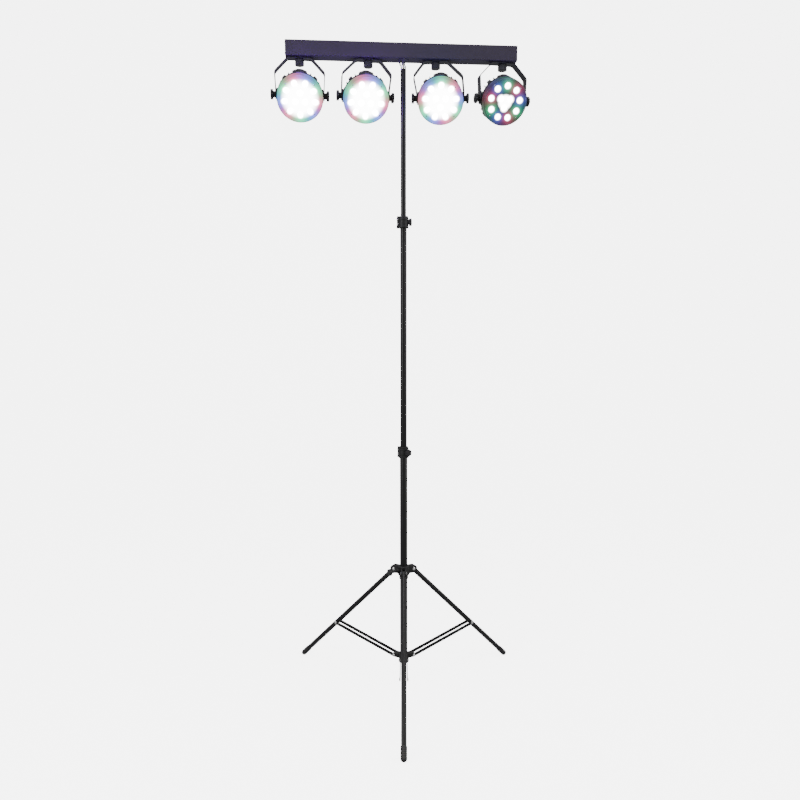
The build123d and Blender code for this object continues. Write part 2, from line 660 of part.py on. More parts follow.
CLAMP_SCREW_R = 3.0
CLAMP_KNOB_R = 13.0
CLAMP_KNOB_LENGTH = 10.0
CLAMP_SLOT = 2.0


def clamp(height, outer_tube_d, inner_tube_d, turn):
    """Moulded collar on the end of a tube: it grips the tube inside it when its jaws close."""
    frame = Plane.XY.rotated((0, 0, turn)).offset(height - CLAMP_HEIGHT / 2)
    jaw = Plane(origin=frame.origin, x_dir=frame.y_dir, z_dir=frame.x_dir)
    with BuildPart() as collar:
        with BuildSketch(frame):
            Circle(CLAMP_R)
            with Locations((-CLAMP_JAW / 2, 0)):
                Rectangle(CLAMP_JAW, 18)
        extrude(amount=CLAMP_HEIGHT)
        chamfer(collar.edges().group_by(Axis.Z)[-1], 1.5)
        with BuildSketch(frame):
            Circle(outer_tube_d / 2 + 0.05)
        extrude(amount=CLAMP_HEIGHT - 6, mode=Mode.SUBTRACT)
        with BuildSketch(frame):
            Circle(inner_tube_d / 2 + SLIDE)
        extrude(amount=CLAMP_HEIGHT, mode=Mode.SUBTRACT)
        # the slot between the jaws
        with BuildSketch(frame):
            with Locations((-CLAMP_JAW / 2 - 2, 0)):
                Rectangle(CLAMP_JAW + 4, CLAMP_SLOT)
        extrude(amount=CLAMP_HEIGHT, mode=Mode.SUBTRACT)
        # boss for the knob's screw on the side away from the jaws
        with BuildSketch(jaw.offset(CLAMP_R - 4)):
            with Locations((0, CLAMP_HEIGHT / 2)):
                Circle(9)
        extrude(amount=5)
        with BuildSketch(jaw):
            with Locations((0, CLAMP_HEIGHT / 2)):
                Circle(CLAMP_SCREW_R + RUN)
        extrude(amount=CLAMP_R + 10, mode=Mode.SUBTRACT)
    return collar.part


def knob_frame(height, turn):
    """The frame of a collar's knob: Z points out along the screw."""
    angle = radians(turn)
    out = (cos(angle), sin(angle), 0)
    return Plane(origin=(0, 0, height), x_dir=(-sin(angle), cos(angle), 0), z_dir=out)


def clamp_knob(frame, screw_from):
    """Six-lobed knob moulded on its screw."""
    seat = CLAMP_R + 1 + GAP
    with BuildPart() as knob:
        with BuildSketch(frame.offset(screw_from)):
            Circle(CLAMP_SCREW_R)
        extrude(amount=seat - screw_from)
        with BuildSketch(frame.offset(seat)):
            Circle(CLAMP_KNOB_R)
            with PolarLocations(CLAMP_KNOB_R + 3, 6):
                Circle(4.5, mode=Mode.SUBTRACT)
        extrude(amount=CLAMP_KNOB_LENGTH)
        chamfer(knob.faces().sort_by(Axis(frame.origin, frame.z_dir))[-1].edges(), 1)
    return knob.part


UPPER_TURN = -8.0
LOWER_TURN = -50.0
keep(clamp(UPPER_CLAMP_Z, MAST_MIDDLE_OD, MAST_TOP_OD, UPPER_TURN), "upper_clamp")
keep(clamp(LOWER_CLAMP_Z, MAST_BOTTOM_OD, MAST_MIDDLE_OD, LOWER_TURN), "lower_clamp")
keep(clamp_knob(knob_frame(UPPER_CLAMP_Z, UPPER_TURN), MAST_MIDDLE_OD / 2 + GAP), "upper_clamp_knob")
keep(clamp_knob(knob_frame(LOWER_CLAMP_Z, LOWER_TURN), MAST_BOTTOM_OD / 2 + GAP), "lower_clamp_knob")

# ---- tripod -------------------------------------------------------------------------------
LEG_PIVOT_Z = FOOT_RADIUS + LEG_LENGTH * cos(radians(LEG_ANGLE))
BRACE_TIP_RADIUS = LEG_PIVOT_RADIUS + BRACE_ON_LEG * sin(radians(LEG_ANGLE))
BRACE_TIP_Z = LEG_PIVOT_Z - BRACE_ON_LEG * cos(radians(LEG_ANGLE))
BRACE_LENGTH = hypot(BRACE_TIP_RADIUS - HUB_PIVOT_RADIUS, BRACE_TIP_Z - HUB_PIVOT_Z)
BRACE_ANGLE = degrees(atan2(BRACE_TIP_Z - HUB_PIVOT_Z, BRACE_TIP_RADIUS - HUB_PIVOT_RADIUS))
LEG_TURNS = [-90 - LEG_PHASE + step * 120 for step in range(3)]
PIN_R = 3.0
RIVET_R = 5.5
RIVET_HEAD = 2.0
TONGUE = 9.0                            # leg tongue between the crown's cheeks
CHEEK = 5.0
CROWN_R = 21.0
CROWN_HEIGHT = 34.0
CROWN_SKIRT = 15.0
BRACE_INNER = 22.0                      # gap between a brace's two bars
BRACE_THICK = 2.5
BRACE_WIDTH = 12.5
HUB_R = 19.0
HUB_HEIGHT = 24.0


def spoke(turn, radius, height):
    """The frame of one leg's pivot: X outward, Y up, Z across the pin."""
    angle = radians(turn)
    return Plane(
        origin=(radius * cos(angle), radius * sin(angle), height),
        x_dir=(cos(angle), sin(angle), 0),
        z_dir=(sin(angle), -cos(angle), 0),
    )


LOCK_TURN = LEG_TURNS[0] - 60          # the locking knob points between two legs
LOCK_BOSS_END = 30.0
LOCK_STEM_END = 54.0

with BuildPart() as crown:
    with BuildSketch(Plane.XY.offset(LEG_PIVOT_Z - CROWN_HEIGHT / 2)):
        Circle(CROWN_R)
    extrude(amount=CROWN_HEIGHT)
    chamfer(crown.edges().group_by(Axis.Z)[-1], 2)
    with BuildSketch(Plane.XY.offset(LEG_PIVOT_Z - CROWN_HEIGHT / 2 - CROWN_SKIRT)):
        Circle(MAST_BOTTOM_OD / 2 + 3)
    extrude(amount=CROWN_SKIRT)
    with BuildSketch(knob_frame(LEG_PIVOT_Z, LOCK_TURN).offset(CROWN_R - 4)):
        Circle(8)
    extrude(amount=LOCK_BOSS_END - CROWN_R + 4)
    for turn in LEG_TURNS:
        pivot = spoke(turn, LEG_PIVOT_RADIUS, LEG_PIVOT_Z)
        for low in (TONGUE / 2 + GAP, -(TONGUE / 2 + GAP) - CHEEK):
            with BuildSketch(pivot.offset(low)):
                with Locations((-(LEG_PIVOT_RADIUS - CROWN_R) / 2 - 3, 0)):
                    Rectangle(LEG_PIVOT_RADIUS - CROWN_R + 6, CROWN_HEIGHT - 6)
                Circle((CROWN_HEIGHT - 6) / 2)
                Circle(PIN_R + 0.05, mode=Mode.SUBTRACT)
            extrude(amount=CHEEK)
    # the sliding bore, and the threaded hole for the locking knob
    with BuildSketch(Plane.XY.offset(LEG_PIVOT_Z - CROWN_HEIGHT)):
        Circle(MAST_BOTTOM_OD / 2 + SLIDE)
    extrude(amount=2 * CROWN_HEIGHT, mode=Mode.SUBTRACT)
    with BuildSketch(knob_frame(LEG_PIVOT_Z, LOCK_TURN)):
        Circle(CLAMP_SCREW_R + RUN)
    extrude(amount=LOCK_BOSS_END, mode=Mode.SUBTRACT)
    # pivot pins with round heads
    for turn in LEG_TURNS:
        pivot = spoke(turn, LEG_PIVOT_RADIUS, LEG_PIVOT_Z)
        half = TONGUE / 2 + GAP + CHEEK + FIT
        with BuildSketch(pivot):
            Circle(PIN_R)
        extrude(amount=half, both=True)
        for side in (-1, 1):
            with BuildSketch(pivot.offset(side * half)):
                Circle(RIVET_R)
            extrude(amount=side * RIVET_HEAD)
keep(crown.part, "crown")

lock_frame = knob_frame(LEG_PIVOT_Z, LOCK_TURN)
with BuildPart() as crown_knob:
    with BuildSketch(lock_frame.offset(MAST_BOTTOM_OD / 2 + GAP)):
        Circle(CLAMP_SCREW_R)
    extrude(amount=LOCK_BOSS_END + GAP - MAST_BOTTOM_OD / 2 - GAP)
    with BuildSketch(lock_frame.offset(LOCK_BOSS_END + GAP)):
        Circle(6)
    extrude(amount=LOCK_STEM_END - LOCK_BOSS_END - GAP)
    with BuildSketch(lock_frame.offset(LOCK_STEM_END)):
        Circle(CLAMP_KNOB_R)
        with PolarLocations(CLAMP_KNOB_R + 3, 6):
            Circle(4.5, mode=Mode.SUBTRACT)
    extrude(amount=CLAMP_KNOB_LENGTH)
    chamfer(crown_knob.faces().sort_by(Axis(lock_frame.origin, lock_frame.z_dir))[-1].edges(), 1)
keep(crown_knob.part, "crown_knob")

with BuildPart() as base_hub:
    with BuildSketch(Plane.XY.offset(BOTTOM_TUBE_END - 4)):
        Circle(HUB_R)
    extrude(amount=HUB_PIVOT_Z + HUB_HEIGHT / 2 - BOTTOM_TUBE_END + 4)
    chamfer(base_hub.edges().group_by(Axis.Z)[0], 2)
    for turn in LEG_TURNS:
        pivot = spoke(turn, HUB_PIVOT_RADIUS, HUB_PIVOT_Z)
        with BuildSketch(pivot):
            with Locations((-(HUB_PIVOT_RADIUS - HUB_R) / 2 - 4, 0)):
                Rectangle(HUB_PIVOT_RADIUS - HUB_R + 8, 16)
            Circle(8)
        extrude(amount=BRACE_INNER / 2 - GAP, both=True)
        with BuildSketch(pivot):
            Circle(PIN_R + 0.05)
        extrude(amount=BRACE_INNER, both=True, mode=Mode.SUBTRACT)
    with BuildSketch(Plane.XY.offset(BOTTOM_TUBE_END - 0.05)):
        Circle(MAST_BOTTOM_OD / 2 + 0.05)
    extrude(amount=HUB_HEIGHT * 2, mode=Mode.SUBTRACT)
    # pins that carry the braces, with heads outside the bars
    for turn in LEG_TURNS:
        pivot = spoke(turn, HUB_PIVOT_RADIUS, HUB_PIVOT_Z)
        half = BRACE_INNER / 2 + BRACE_THICK + GAP
        with BuildSketch(pivot):
            Circle(PIN_R)
        extrude(amount=half, both=True)
        for side in (-1, 1):
            with BuildSketch(pivot.offset(side * half)):
                Circle(RIVET_R)
            extrude(amount=side * RIVET_HEAD)
keep(base_hub.part, "base_hub")

TUBE_START = 16.0
FOOT_SLEEVE = 35.0
for number, turn in enumerate(LEG_TURNS, start=1):
    pivot = spoke(turn, LEG_PIVOT_RADIUS, LEG_PIVOT_Z)
    slope = radians(LEG_ANGLE)
    down = pivot.x_dir * sin(slope) - pivot.y_dir * cos(slope)
    leg_line = Plane(origin=pivot.origin, x_dir=pivot.z_dir, z_dir=down)
    with BuildPart() as leg:
        # tongue and plug
        with BuildSketch(Plane(origin=pivot.origin, x_dir=down, z_dir=pivot.z_dir)):
            Circle(9)
            with Locations((TUBE_START / 2, 0)):
                Rectangle(TUBE_START, 16)
            Circle(PIN_R + RUN, mode=Mode.SUBTRACT)
        extrude(amount=TONGUE / 2, both=True)
        with BuildSketch(leg_line.offset(TUBE_START)):
            Circle(LEG_OD / 2 - TUBE_WALL - FIT)
        extrude(amount=30)
        # tube
        with BuildSketch(leg_line.offset(TUBE_START + FIT)):
            ring(LEG_OD / 2, LEG_OD / 2 - TUBE_WALL)
        extrude(amount=LEG_LENGTH - TUBE_START - 4)
        # rubber foot pulled over the end
        with BuildSketch(Plane(origin=pivot.origin, x_dir=pivot.z_dir, z_dir=pivot.z_dir.cross(down))):
            with BuildLine():
                Line((0, LEG_LENGTH + FOOT_RADIUS), (0, LEG_LENGTH + 0.5))
                Line((0, LEG_LENGTH + 0.5), (LEG_OD / 2 + FIT, LEG_LENGTH + 0.5))
                Line((LEG_OD / 2 + FIT, LEG_LENGTH + 0.5), (LEG_OD / 2 + FIT, LEG_LENGTH - FOOT_SLEEVE))
                Line((LEG_OD / 2 + FIT, LEG_LENGTH - FOOT_SLEEVE), (FOOT_RADIUS, LEG_LENGTH - FOOT_SLEEVE))
                Line((FOOT_RADIUS, LEG_LENGTH - FOOT_SLEEVE), (FOOT_RADIUS, LEG_LENGTH))
                CenterArc((0, LEG_LENGTH), FOOT_RADIUS, 0, 90)
            make_face()
        revolve(axis=Axis(pivot.origin, down))
    keep(leg.part, f"leg_{number}")

    rise = radians(BRACE_ANGLE)
    hub_pivot = spoke(turn, HUB_PIVOT_RADIUS, HUB_PIVOT_Z)
    brace_dir = hub_pivot.x_dir * cos(rise) + hub_pivot.y_dir * sin(rise)
    with BuildPart() as brace:
        for low in (BRACE_INNER / 2, -BRACE_INNER / 2 - BRACE_THICK):
            bar_plane = Plane(origin=hub_pivot.origin, x_dir=brace_dir, z_dir=hub_pivot.z_dir)
            with BuildSketch(bar_plane.offset(low)):
                with Locations((BRACE_LENGTH / 2, 0)):
                    SlotCenterToCenter(BRACE_LENGTH, BRACE_WIDTH)
                Circle(PIN_R + RUN, mode=Mode.SUBTRACT)
            extrude(amount=BRACE_THICK)
        # the rivet that joins the bars to the leg shows only its heads
        for side in (-1, 1):
            head_plane = Plane(origin=hub_pivot.origin, x_dir=brace_dir, z_dir=hub_pivot.z_dir)
            with BuildSketch(head_plane.offset(side * (BRACE_INNER / 2 + BRACE_THICK))):
                with Locations((BRACE_LENGTH, 0)):
                    Circle(RIVET_R)
            extrude(amount=side * RIVET_HEAD)
    keep(brace.part, f"brace_{number}")
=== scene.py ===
import json
from math import atan2, cos, hypot, pi, radians, sin, sqrt

import bmesh
import bpy
from mathutils import Matrix, Vector


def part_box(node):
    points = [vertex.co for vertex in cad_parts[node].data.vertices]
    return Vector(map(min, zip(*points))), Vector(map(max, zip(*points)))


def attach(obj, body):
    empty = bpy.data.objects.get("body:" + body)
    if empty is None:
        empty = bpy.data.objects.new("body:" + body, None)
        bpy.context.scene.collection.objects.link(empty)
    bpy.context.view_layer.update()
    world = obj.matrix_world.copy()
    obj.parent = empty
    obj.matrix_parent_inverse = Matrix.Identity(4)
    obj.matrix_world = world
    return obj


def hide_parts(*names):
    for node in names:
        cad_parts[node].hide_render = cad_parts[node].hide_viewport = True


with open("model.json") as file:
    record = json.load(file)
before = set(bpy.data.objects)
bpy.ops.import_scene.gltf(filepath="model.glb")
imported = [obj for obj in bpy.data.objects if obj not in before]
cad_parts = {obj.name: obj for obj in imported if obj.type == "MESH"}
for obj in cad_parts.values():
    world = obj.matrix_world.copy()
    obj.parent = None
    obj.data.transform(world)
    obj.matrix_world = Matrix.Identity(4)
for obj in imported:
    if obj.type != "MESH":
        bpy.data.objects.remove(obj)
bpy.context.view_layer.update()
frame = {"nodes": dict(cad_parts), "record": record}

MM = 0.001

# ---- The view: a camera at chest height, a little left of square on to the bar ------------
# The lens looks slightly down, so the bar's underside and the heads' faces both show.
VIEW_TURN = radians(4.5)
VIEW_DISTANCE = 2.465
VIEW_HEIGHT = 1.322
VIEW_PITCH = radians(5.905)
VIEW_AIM = radians(0.29)
VIEW_ROLL = radians(0.076)

camera = bpy.data.objects.new("camera", bpy.data.cameras.new("camera"))
camera.data.lens = 31.15
camera.data.sensor_width = 36.0
camera.location = (-VIEW_DISTANCE * sin(VIEW_TURN), -VIEW_DISTANCE * cos(VIEW_TURN), VIEW_HEIGHT)
camera.rotation_euler = (pi / 2 - VIEW_PITCH, VIEW_ROLL, VIEW_AIM - VIEW_TURN)
bpy.context.scene.collection.objects.link(camera)
bpy.context.scene.camera = camera


# ---- The studio: a white floor that sweeps up behind, lit evenly, and soft panels ---------
# Large soft panels stand left, right and above; the glowing sweep fills the shadows.
def shader(name):
    """A new material with its Principled shader, and short ways to add and join nodes."""
    made = bpy.data.materials.new(name)
    made.use_nodes = True
    return made, made.node_tree, made.node_tree.nodes["Principled BSDF"]


def node(tree, kind, **values):
    """Add a node; values that name a socket set it, and others set the node's own settings."""
    added = tree.nodes.new(kind)
    for key, value in values.items():
        socket = added.inputs.get(key.replace("_", " "))
        if socket is None:
            setattr(added, key, value)
        else:
            socket.default_value = value
    return added


def floor_sweep():
    half_width, front, back, radius, height = 9.0, -9.0, 5.0, 2.5, 9.0
    line = [(front, 0.0), (back - radius, 0.0)]
    line += [
        (back - radius + radius * sin(step * pi / 24), radius - radius * cos(step * pi / 24))
        for step in range(1, 13)
    ]
    line += [(back, height)]
    mesh = bmesh.new()
    rows = [[mesh.verts.new((x, y, z)) for x in (-half_width, half_width)] for y, z in line]
    for low, high in zip(rows, rows[1:]):
        mesh.faces.new((low[0], low[1], high[1], high[0])).smooth = True
    data = bpy.data.meshes.new("studio_floor")
    mesh.to_mesh(data)
    mesh.free()
    sweep = bpy.data.objects.new("studio_floor", data)
    bpy.context.scene.collection.objects.link(sweep)
    return sweep


studio_floor = floor_sweep()
floor_paint, tree, paint = shader("studio_white")
grain = node(tree, "ShaderNodeTexNoise", Scale=3.0, Detail=4.0)
tint = node(tree, "ShaderNodeValToRGB")
tint.color_ramp.elements[0].color = (0.86, 0.86, 0.87, 1)
tint.color_ramp.elements[1].color = (0.90, 0.90, 0.90, 1)
tree.links.new(grain.outputs["Fac"], tint.inputs["Fac"])
tree.links.new(tint.outputs["Color"], paint.inputs["Base Color"])
paint.inputs["Roughness"].default_value = 0.9
paint.inputs["Emission Color"].default_value = (1.0, 1.0, 1.0, 1)
paint.inputs["Emission Strength"].default_value = 5.2
studio_floor.data.materials.append(floor_paint)
studio_floor.visible_diffuse = False
studio_floor.visible_glossy = False

room = bpy.data.worlds.new("studio_air")
room.use_nodes = True
room.node_tree.nodes["Background"].inputs["Color"].default_value = (1.0, 1.0, 1.0, 1)
room.node_tree.nodes["Background"].inputs["Strength"].default_value = 0.55
bpy.context.scene.world = room


def soft_panel(name, place, aim, size, power, colour=(1, 1, 1)):
    light = bpy.data.lights.new(name, "AREA")
    light.shape = "RECTANGLE"
    light.size, light.size_y = size
    light.energy = power
    light.color = colour
    panel = bpy.data.objects.new(name, light)
    panel.location = place
    panel.rotation_euler = (Vector(aim) - Vector(place)).to_track_quat("-Z", "Y").to_euler()
    bpy.context.scene.collection.objects.link(panel)


soft_panel("left_panel", (-3.2, -2.4, 2.2), (0, 0, 1.2), (0.8, 3.0), 110)
soft_panel("right_panel", (3.4, -1.8, 2.0), (0, 0, 1.2), (0.6, 3.0), 80)
soft_panel("top_panel", (0, -1.0, 4.6), (0, 0, 1.0), (3.0, 2.0), 60)


# ---- Mast tubes: drawn steel, enamelled black, with fine scratches along the slide --------
# Each tube is turned round its axis; the ends are rolled in and the sliding ends carry a
# ribbed nylon bush that guides them in the tube below.
def effect(name, inputs, outputs):
    """A new node group with named inputs and outputs, as (group, its input and output nodes)."""
    made = bpy.data.node_groups.new(name, "ShaderNodeTree")
    for label, kind, value in inputs:
        socket = made.interface.new_socket(label, in_out="INPUT", socket_type="NodeSocket" + kind)
        socket.default_value = value
    for label, kind in outputs:
        made.interface.new_socket(label, in_out="OUTPUT", socket_type="NodeSocket" + kind)
    return made, made.nodes.new("NodeGroupInput"), made.nodes.new("NodeGroupOutput")


def use(tree, group, **values):
    """Add a node group to a tree; values set its inputs."""
    added = tree.nodes.new("ShaderNodeGroup")
    added.node_tree = group
    for key, value in values.items():
        added.inputs[key.replace("_", " ")].default_value = value
    return added


def calculate(tree, operation, a, b=None, c=None):
    """A Math node whose inputs are sockets or numbers; returns its output."""
    added = tree.nodes.new("ShaderNodeMath")
    added.operation = operation
    for socket, value in zip(added.inputs, (a, b, c)):
        if value is None:
            continue
        if isinstance(value, (int, float)):
            socket.default_value = value
        else:
            tree.links.new(value, socket)
    return added.outputs[0]


# fine grain of moulded or sprayed skin: a height, and a slow drift in gloss
grain_group, g_in, g_out = effect(
    "skin_grain", [("Grain Size", "Float", 900.0), ("Drift Size", "Float", 14.0)],
    [("Height", "Float"), ("Drift", "Float")],
)
place = node(grain_group, "ShaderNodeTexCoord")
fine = node(grain_group, "ShaderNodeTexNoise", Detail=2.0, Roughness=0.6)
slow = node(grain_group, "ShaderNodeTexNoise", Detail=5.0, Roughness=0.6)
for noise, size in ((fine, "Grain Size"), (slow, "Drift Size")):
    grain_group.links.new(place.outputs["Object"], noise.inputs["Vector"])
    grain_group.links.new(g_in.outputs[size], noise.inputs["Scale"])
grain_group.links.new(fine.outputs["Fac"], g_out.inputs["Height"])
grain_group.links.new(slow.outputs["Fac"], g_out.inputs["Drift"])

# dust that settles on faces that look up, broken by noise
dust_group, g_in, g_out = effect("settled_dust", [("Amount", "Float", 0.3)], [("Mask", "Float")])
place = node(dust_group, "ShaderNodeTexCoord")
face = node(dust_group, "ShaderNodeNewGeometry")
split = node(dust_group, "ShaderNodeSeparateXYZ")
cloud = node(dust_group, "ShaderNodeTexNoise", Scale=38.0, Detail=6.0, Roughness=0.7)
dust_group.links.new(face.outputs["Normal"], split.inputs[0])
dust_group.links.new(place.outputs["Object"], cloud.inputs["Vector"])
upward = calculate(dust_group, "MAXIMUM", split.outputs["Z"], 0.0)
patch = calculate(dust_group, "MULTIPLY", upward, cloud.outputs["Fac"])
settled = calculate(dust_group, "MULTIPLY", patch, g_in.outputs["Amount"])
dust_group.links.new(settled, g_out.inputs["Mask"])

# thin scratches that run along the piece's Z axis
rub_group, g_in, g_out = effect("slide_scratches", [("Density", "Float", 0.5)], [("Mask", "Float")])
place = node(rub_group, "ShaderNodeTexCoord")
stretch = node(rub_group, "ShaderNodeMapping")
stretch.inputs["Scale"].default_value = (700.0, 700.0, 5.0)
streak = node(rub_group, "ShaderNodeTexNoise", Scale=1.0, Detail=3.0, Roughness=0.7)
rub_group.links.new(place.outputs["Object"], stretch.inputs["Vector"])
rub_group.links.new(stretch.outputs["Vector"], streak.inputs["Vector"])
cut = node(rub_group, "ShaderNodeMapRange")
cut.inputs["From Min"].default_value = 0.66
cut.inputs["From Max"].default_value = 0.74
rub_group.links.new(streak.outputs["Fac"], cut.inputs["Value"])
rubbed = calculate(rub_group, "MULTIPLY", cut.outputs["Result"], g_in.outputs["Density"])
rub_group.links.new(rubbed, g_out.inputs["Mask"])


def coat(name, dark, light, rough, bump=0.08, grain_size=900.0, dust=0.25, scratches=0.0,
         metallic=0.0, spread=0.12, specular=0.25):
    """A painted, moulded or metal skin: grain, drifting gloss and colour, dust and scratches."""
    made, tree, skin = shader(name)
    grain = use(tree, grain_group, Grain_Size=grain_size)
    dirt = use(tree, dust_group, Amount=dust)
    base = node(tree, "ShaderNodeMix", data_type="RGBA")
    base.inputs["A"].default_value = (*dark, 1)
    base.inputs["B"].default_value = (*light, 1)
    tree.links.new(grain.outputs["Drift"], base.inputs["Factor"])
    dusty = node(tree, "ShaderNodeMix", data_type="RGBA")
    dusty.inputs["B"].default_value = (0.16, 0.155, 0.15, 1)
    tree.links.new(dirt.outputs["Mask"], dusty.inputs["Factor"])
    tree.links.new(base.outputs["Result"], dusty.inputs["A"])
    colour = dusty.outputs["Result"]
    gloss = calculate(tree, "MULTIPLY_ADD", grain.outputs["Drift"], spread, rough - spread / 2)
    gloss = calculate(tree, "MULTIPLY_ADD", dirt.outputs["Mask"], 0.5, gloss)
    if scratches:
        rub = use(tree, rub_group, Density=scratches)
        scratched = node(tree, "ShaderNodeMix", data_type="RGBA")
        scratched.inputs["B"].default_value = (0.10, 0.10, 0.105, 1)
        tree.links.new(rub.outputs["Mask"], scratched.inputs["Factor"])
        tree.links.new(colour, scratched.inputs["A"])
        colour = scratched.outputs["Result"]
        gloss = calculate(tree, "MULTIPLY_ADD", rub.outputs["Mask"], 0.2, gloss)
    tree.links.new(colour, skin.inputs["Base Color"])
    tree.links.new(gloss, skin.inputs["Roughness"])
    skin.inputs["Metallic"].default_value = metallic
    skin.inputs["Specular IOR Level"].default_value = specular
    relief = node(tree, "ShaderNodeBump", Strength=bump, Distance=0.0004)
    tree.links.new(grain.outputs["Height"], relief.inputs["Height"])
    tree.links.new(relief.outputs["Normal"], skin.inputs["Normal"])
    return made


slot_of = {part["node"]: part["material_slot"] for part in frame["record"]["subparts"]}


def wear(slot, material):
    """Give every CAD node of one material slot its finish, and return the finish."""
    for name, solid in frame["nodes"].items():
        if slot_of[name] == slot:
            solid.data.materials.clear()
            solid.data.materials.append(material)
    return material


def finish_piece(mesh, name, material, body, replaced=(), place=None, sharp=32):
    """Turn a bmesh drawn in millimetres into a smooth-shaded piece that rides on a body."""
    bmesh.ops.recalc_face_normals(mesh, faces=mesh.faces)
    mesh.transform(Matrix.Scale(MM, 4))
    data = bpy.data.meshes.new(name)
    mesh.to_mesh(data)
    mesh.free()
    data.shade_smooth()
    data.set_sharp_from_angle(angle=radians(sharp))
    piece = bpy.data.objects.new(name, data)
    bpy.context.scene.collection.objects.link(piece)
    if place is not None:
        piece.matrix_world = place
    data.materials.append(material)
    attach(piece, body)
    if replaced:
        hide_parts(*replaced)
    return piece


def joined(mesh, part, matrix=None):
    """Add one bmesh to another, moved by a matrix; the added one is used up."""
    if matrix is not None:
        part.transform(matrix)
    data = bpy.data.meshes.new("joined_part")
    part.to_mesh(data)
    part.free()
    mesh.from_mesh(data)
    bpy.data.meshes.remove(data)
    return mesh


def eased(points, radius, steps=3, closed=True):
    """An outline with each corner rounded off by a short curve."""
    line = []
    count = len(points)
    for index, point in enumerate(points):
        if not closed and index in (0, count - 1):
            line.append(tuple(point))
            continue
        here = Vector(point)
        back = Vector(points[index - 1]) - here
        ahead = Vector(points[(index + 1) % count]) - here
        reach = min(radius, back.length * 0.45, ahead.length * 0.45)
        first = here + back.normalized() * reach
        last = here + ahead.normalized() * reach
        for step in range(steps + 1):
            t = step / steps
            line.append(tuple(first * (1 - t) ** 2 + here * 2 * t * (1 - t) + last * t * t))
    return line


def turned(profile, segments=64, closed=False):
    """A shape of revolution about Z, from (radius, height) points."""
    mesh = bmesh.new()
    rings = []
    for radius, height in profile:
        if radius < 1e-5:
            rings.append([mesh.verts.new((0, 0, height))])
            continue
        turns = [2 * pi * step / segments for step in range(segments)]
        rings.append([mesh.verts.new((radius * cos(a), radius * sin(a), height)) for a in turns])
    pairs = list(zip(rings, rings[1:])) + ([(rings[-1], rings[0])] if closed else [])
    for low, high in pairs:
        for step in range(segments):
            after = (step + 1) % segments
            corners = [low[step % len(low)], low[after % len(low)]]
            corners += [high[after % len(high)], high[step % len(high)]]
            unique = list(dict.fromkeys(corners))
            if len(unique) > 2:
                mesh.faces.new(unique)
    return mesh


def box_mm(name):
    """Lowest and highest corners of a CAD node, in millimetres."""
    low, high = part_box(name)
    return Vector(low) / MM, Vector(high) / MM


enamel = wear("mast_paint", coat(
    "stand_enamel", (0.004, 0.004, 0.0045), (0.008, 0.008, 0.0085), 0.34, 0.05, 700, 0.10, 0.3))
nylon = coat("white_nylon", (0.62, 0.62, 0.60), (0.70, 0.70, 0.68), 0.45, 0.1, 900, 0.1)
TUBE_WALL = 1.2
MAST_R = {"bottom": 13.5, "middle": 11.5, "top": 9.5}
for section, body in (("bottom", "base"), ("middle", "middle_mast"), ("top", "top_mast")):
    low, high = box_mm("mast_tube_" + section)
    radius = MAST_R[section]
    wall = [(radius - TUBE_WALL, low.z), (radius, low.z), (radius, high.z), (radius - TUBE_WALL, high.z)]
    tube = turned(eased(wall, 0.5), 72, closed=True)
    finish_piece(tube, f"mast_tube_{section}_drawn", enamel, body, ["mast_tube_" + section])

for section, below, body in (("middle", "bottom", "middle_mast"), ("top", "middle", "top_mast")):
    base = box_mm("mast_tube_" + section)[0].z
    bore = MAST_R[below] - TUBE_WALL - 0.3
    ribs = [(MAST_R[section] + 0.02, base)]
    for step in range(5):
        ribs += [(bore, base + 1 + step * 6), (bore, base + 5 + step * 6)]
    ribs += [(MAST_R[section] + 0.02, base + 30)]
    finish_piece(turned(ribs, 48, closed=True), section + "_guide_bush", nylon, body)


# ---- Spigot: a chromed stud with a collar, pressed into the top tube ----------------------
# The collar stops the bar's socket and has a turned groove; the plug below it is hidden.
chrome = wear("chrome", coat(
    "chrome_plate", (0.80, 0.80, 0.82), (0.88, 0.88, 0.90), 0.12, 0.02, 300, 0.05, 0.0, 1.0, 0.06, 0.5))
low, high = box_mm("mast_spigot")
plug_top = low.z + 50
collar_top = plug_top + 12
spigot = eased([
    (0, low.z), (8.1, low.z), (8.1, plug_top), (9.5, plug_top), (9.5, plug_top + 5), (9.0, plug_top + 5.6),
    (9.0, plug_top + 6.4), (9.5, plug_top + 7), (9.5, collar_top - 1.5), (8.0, collar_top), (6.0, collar_top),
    (6.0, collar_top + 20), (5.6, collar_top + 21), (5.6, collar_top + 27), (6.0, collar_top + 28),
    (6.0, high.z - 1), (5.0, high.z), (0, high.z),
], 0.35, 2, closed=False)
finish_piece(turned(spigot, 64), "turned_spigot", chrome, "top_mast", ["mast_spigot"])


# ---- Clamp collars: glass-filled nylon, moulded with a jaw that the knob draws together ---
# Each is a split ring with two raised bands, a boss for the knob's screw and two jaw screws.
def facing(place, out, up=(0, 0, 1)):
    """A matrix at a place whose Z points out and whose Y is as near to up as it can be."""
    z = Vector(out).normalized()
    x = Vector(up).cross(z)
    x = x.normalized() if x.length > 1e-6 else Vector((1, 0, 0))
    made = Matrix((x, z.cross(x), z)).transposed().to_4x4()
    made.translation = Vector(place)
    return made


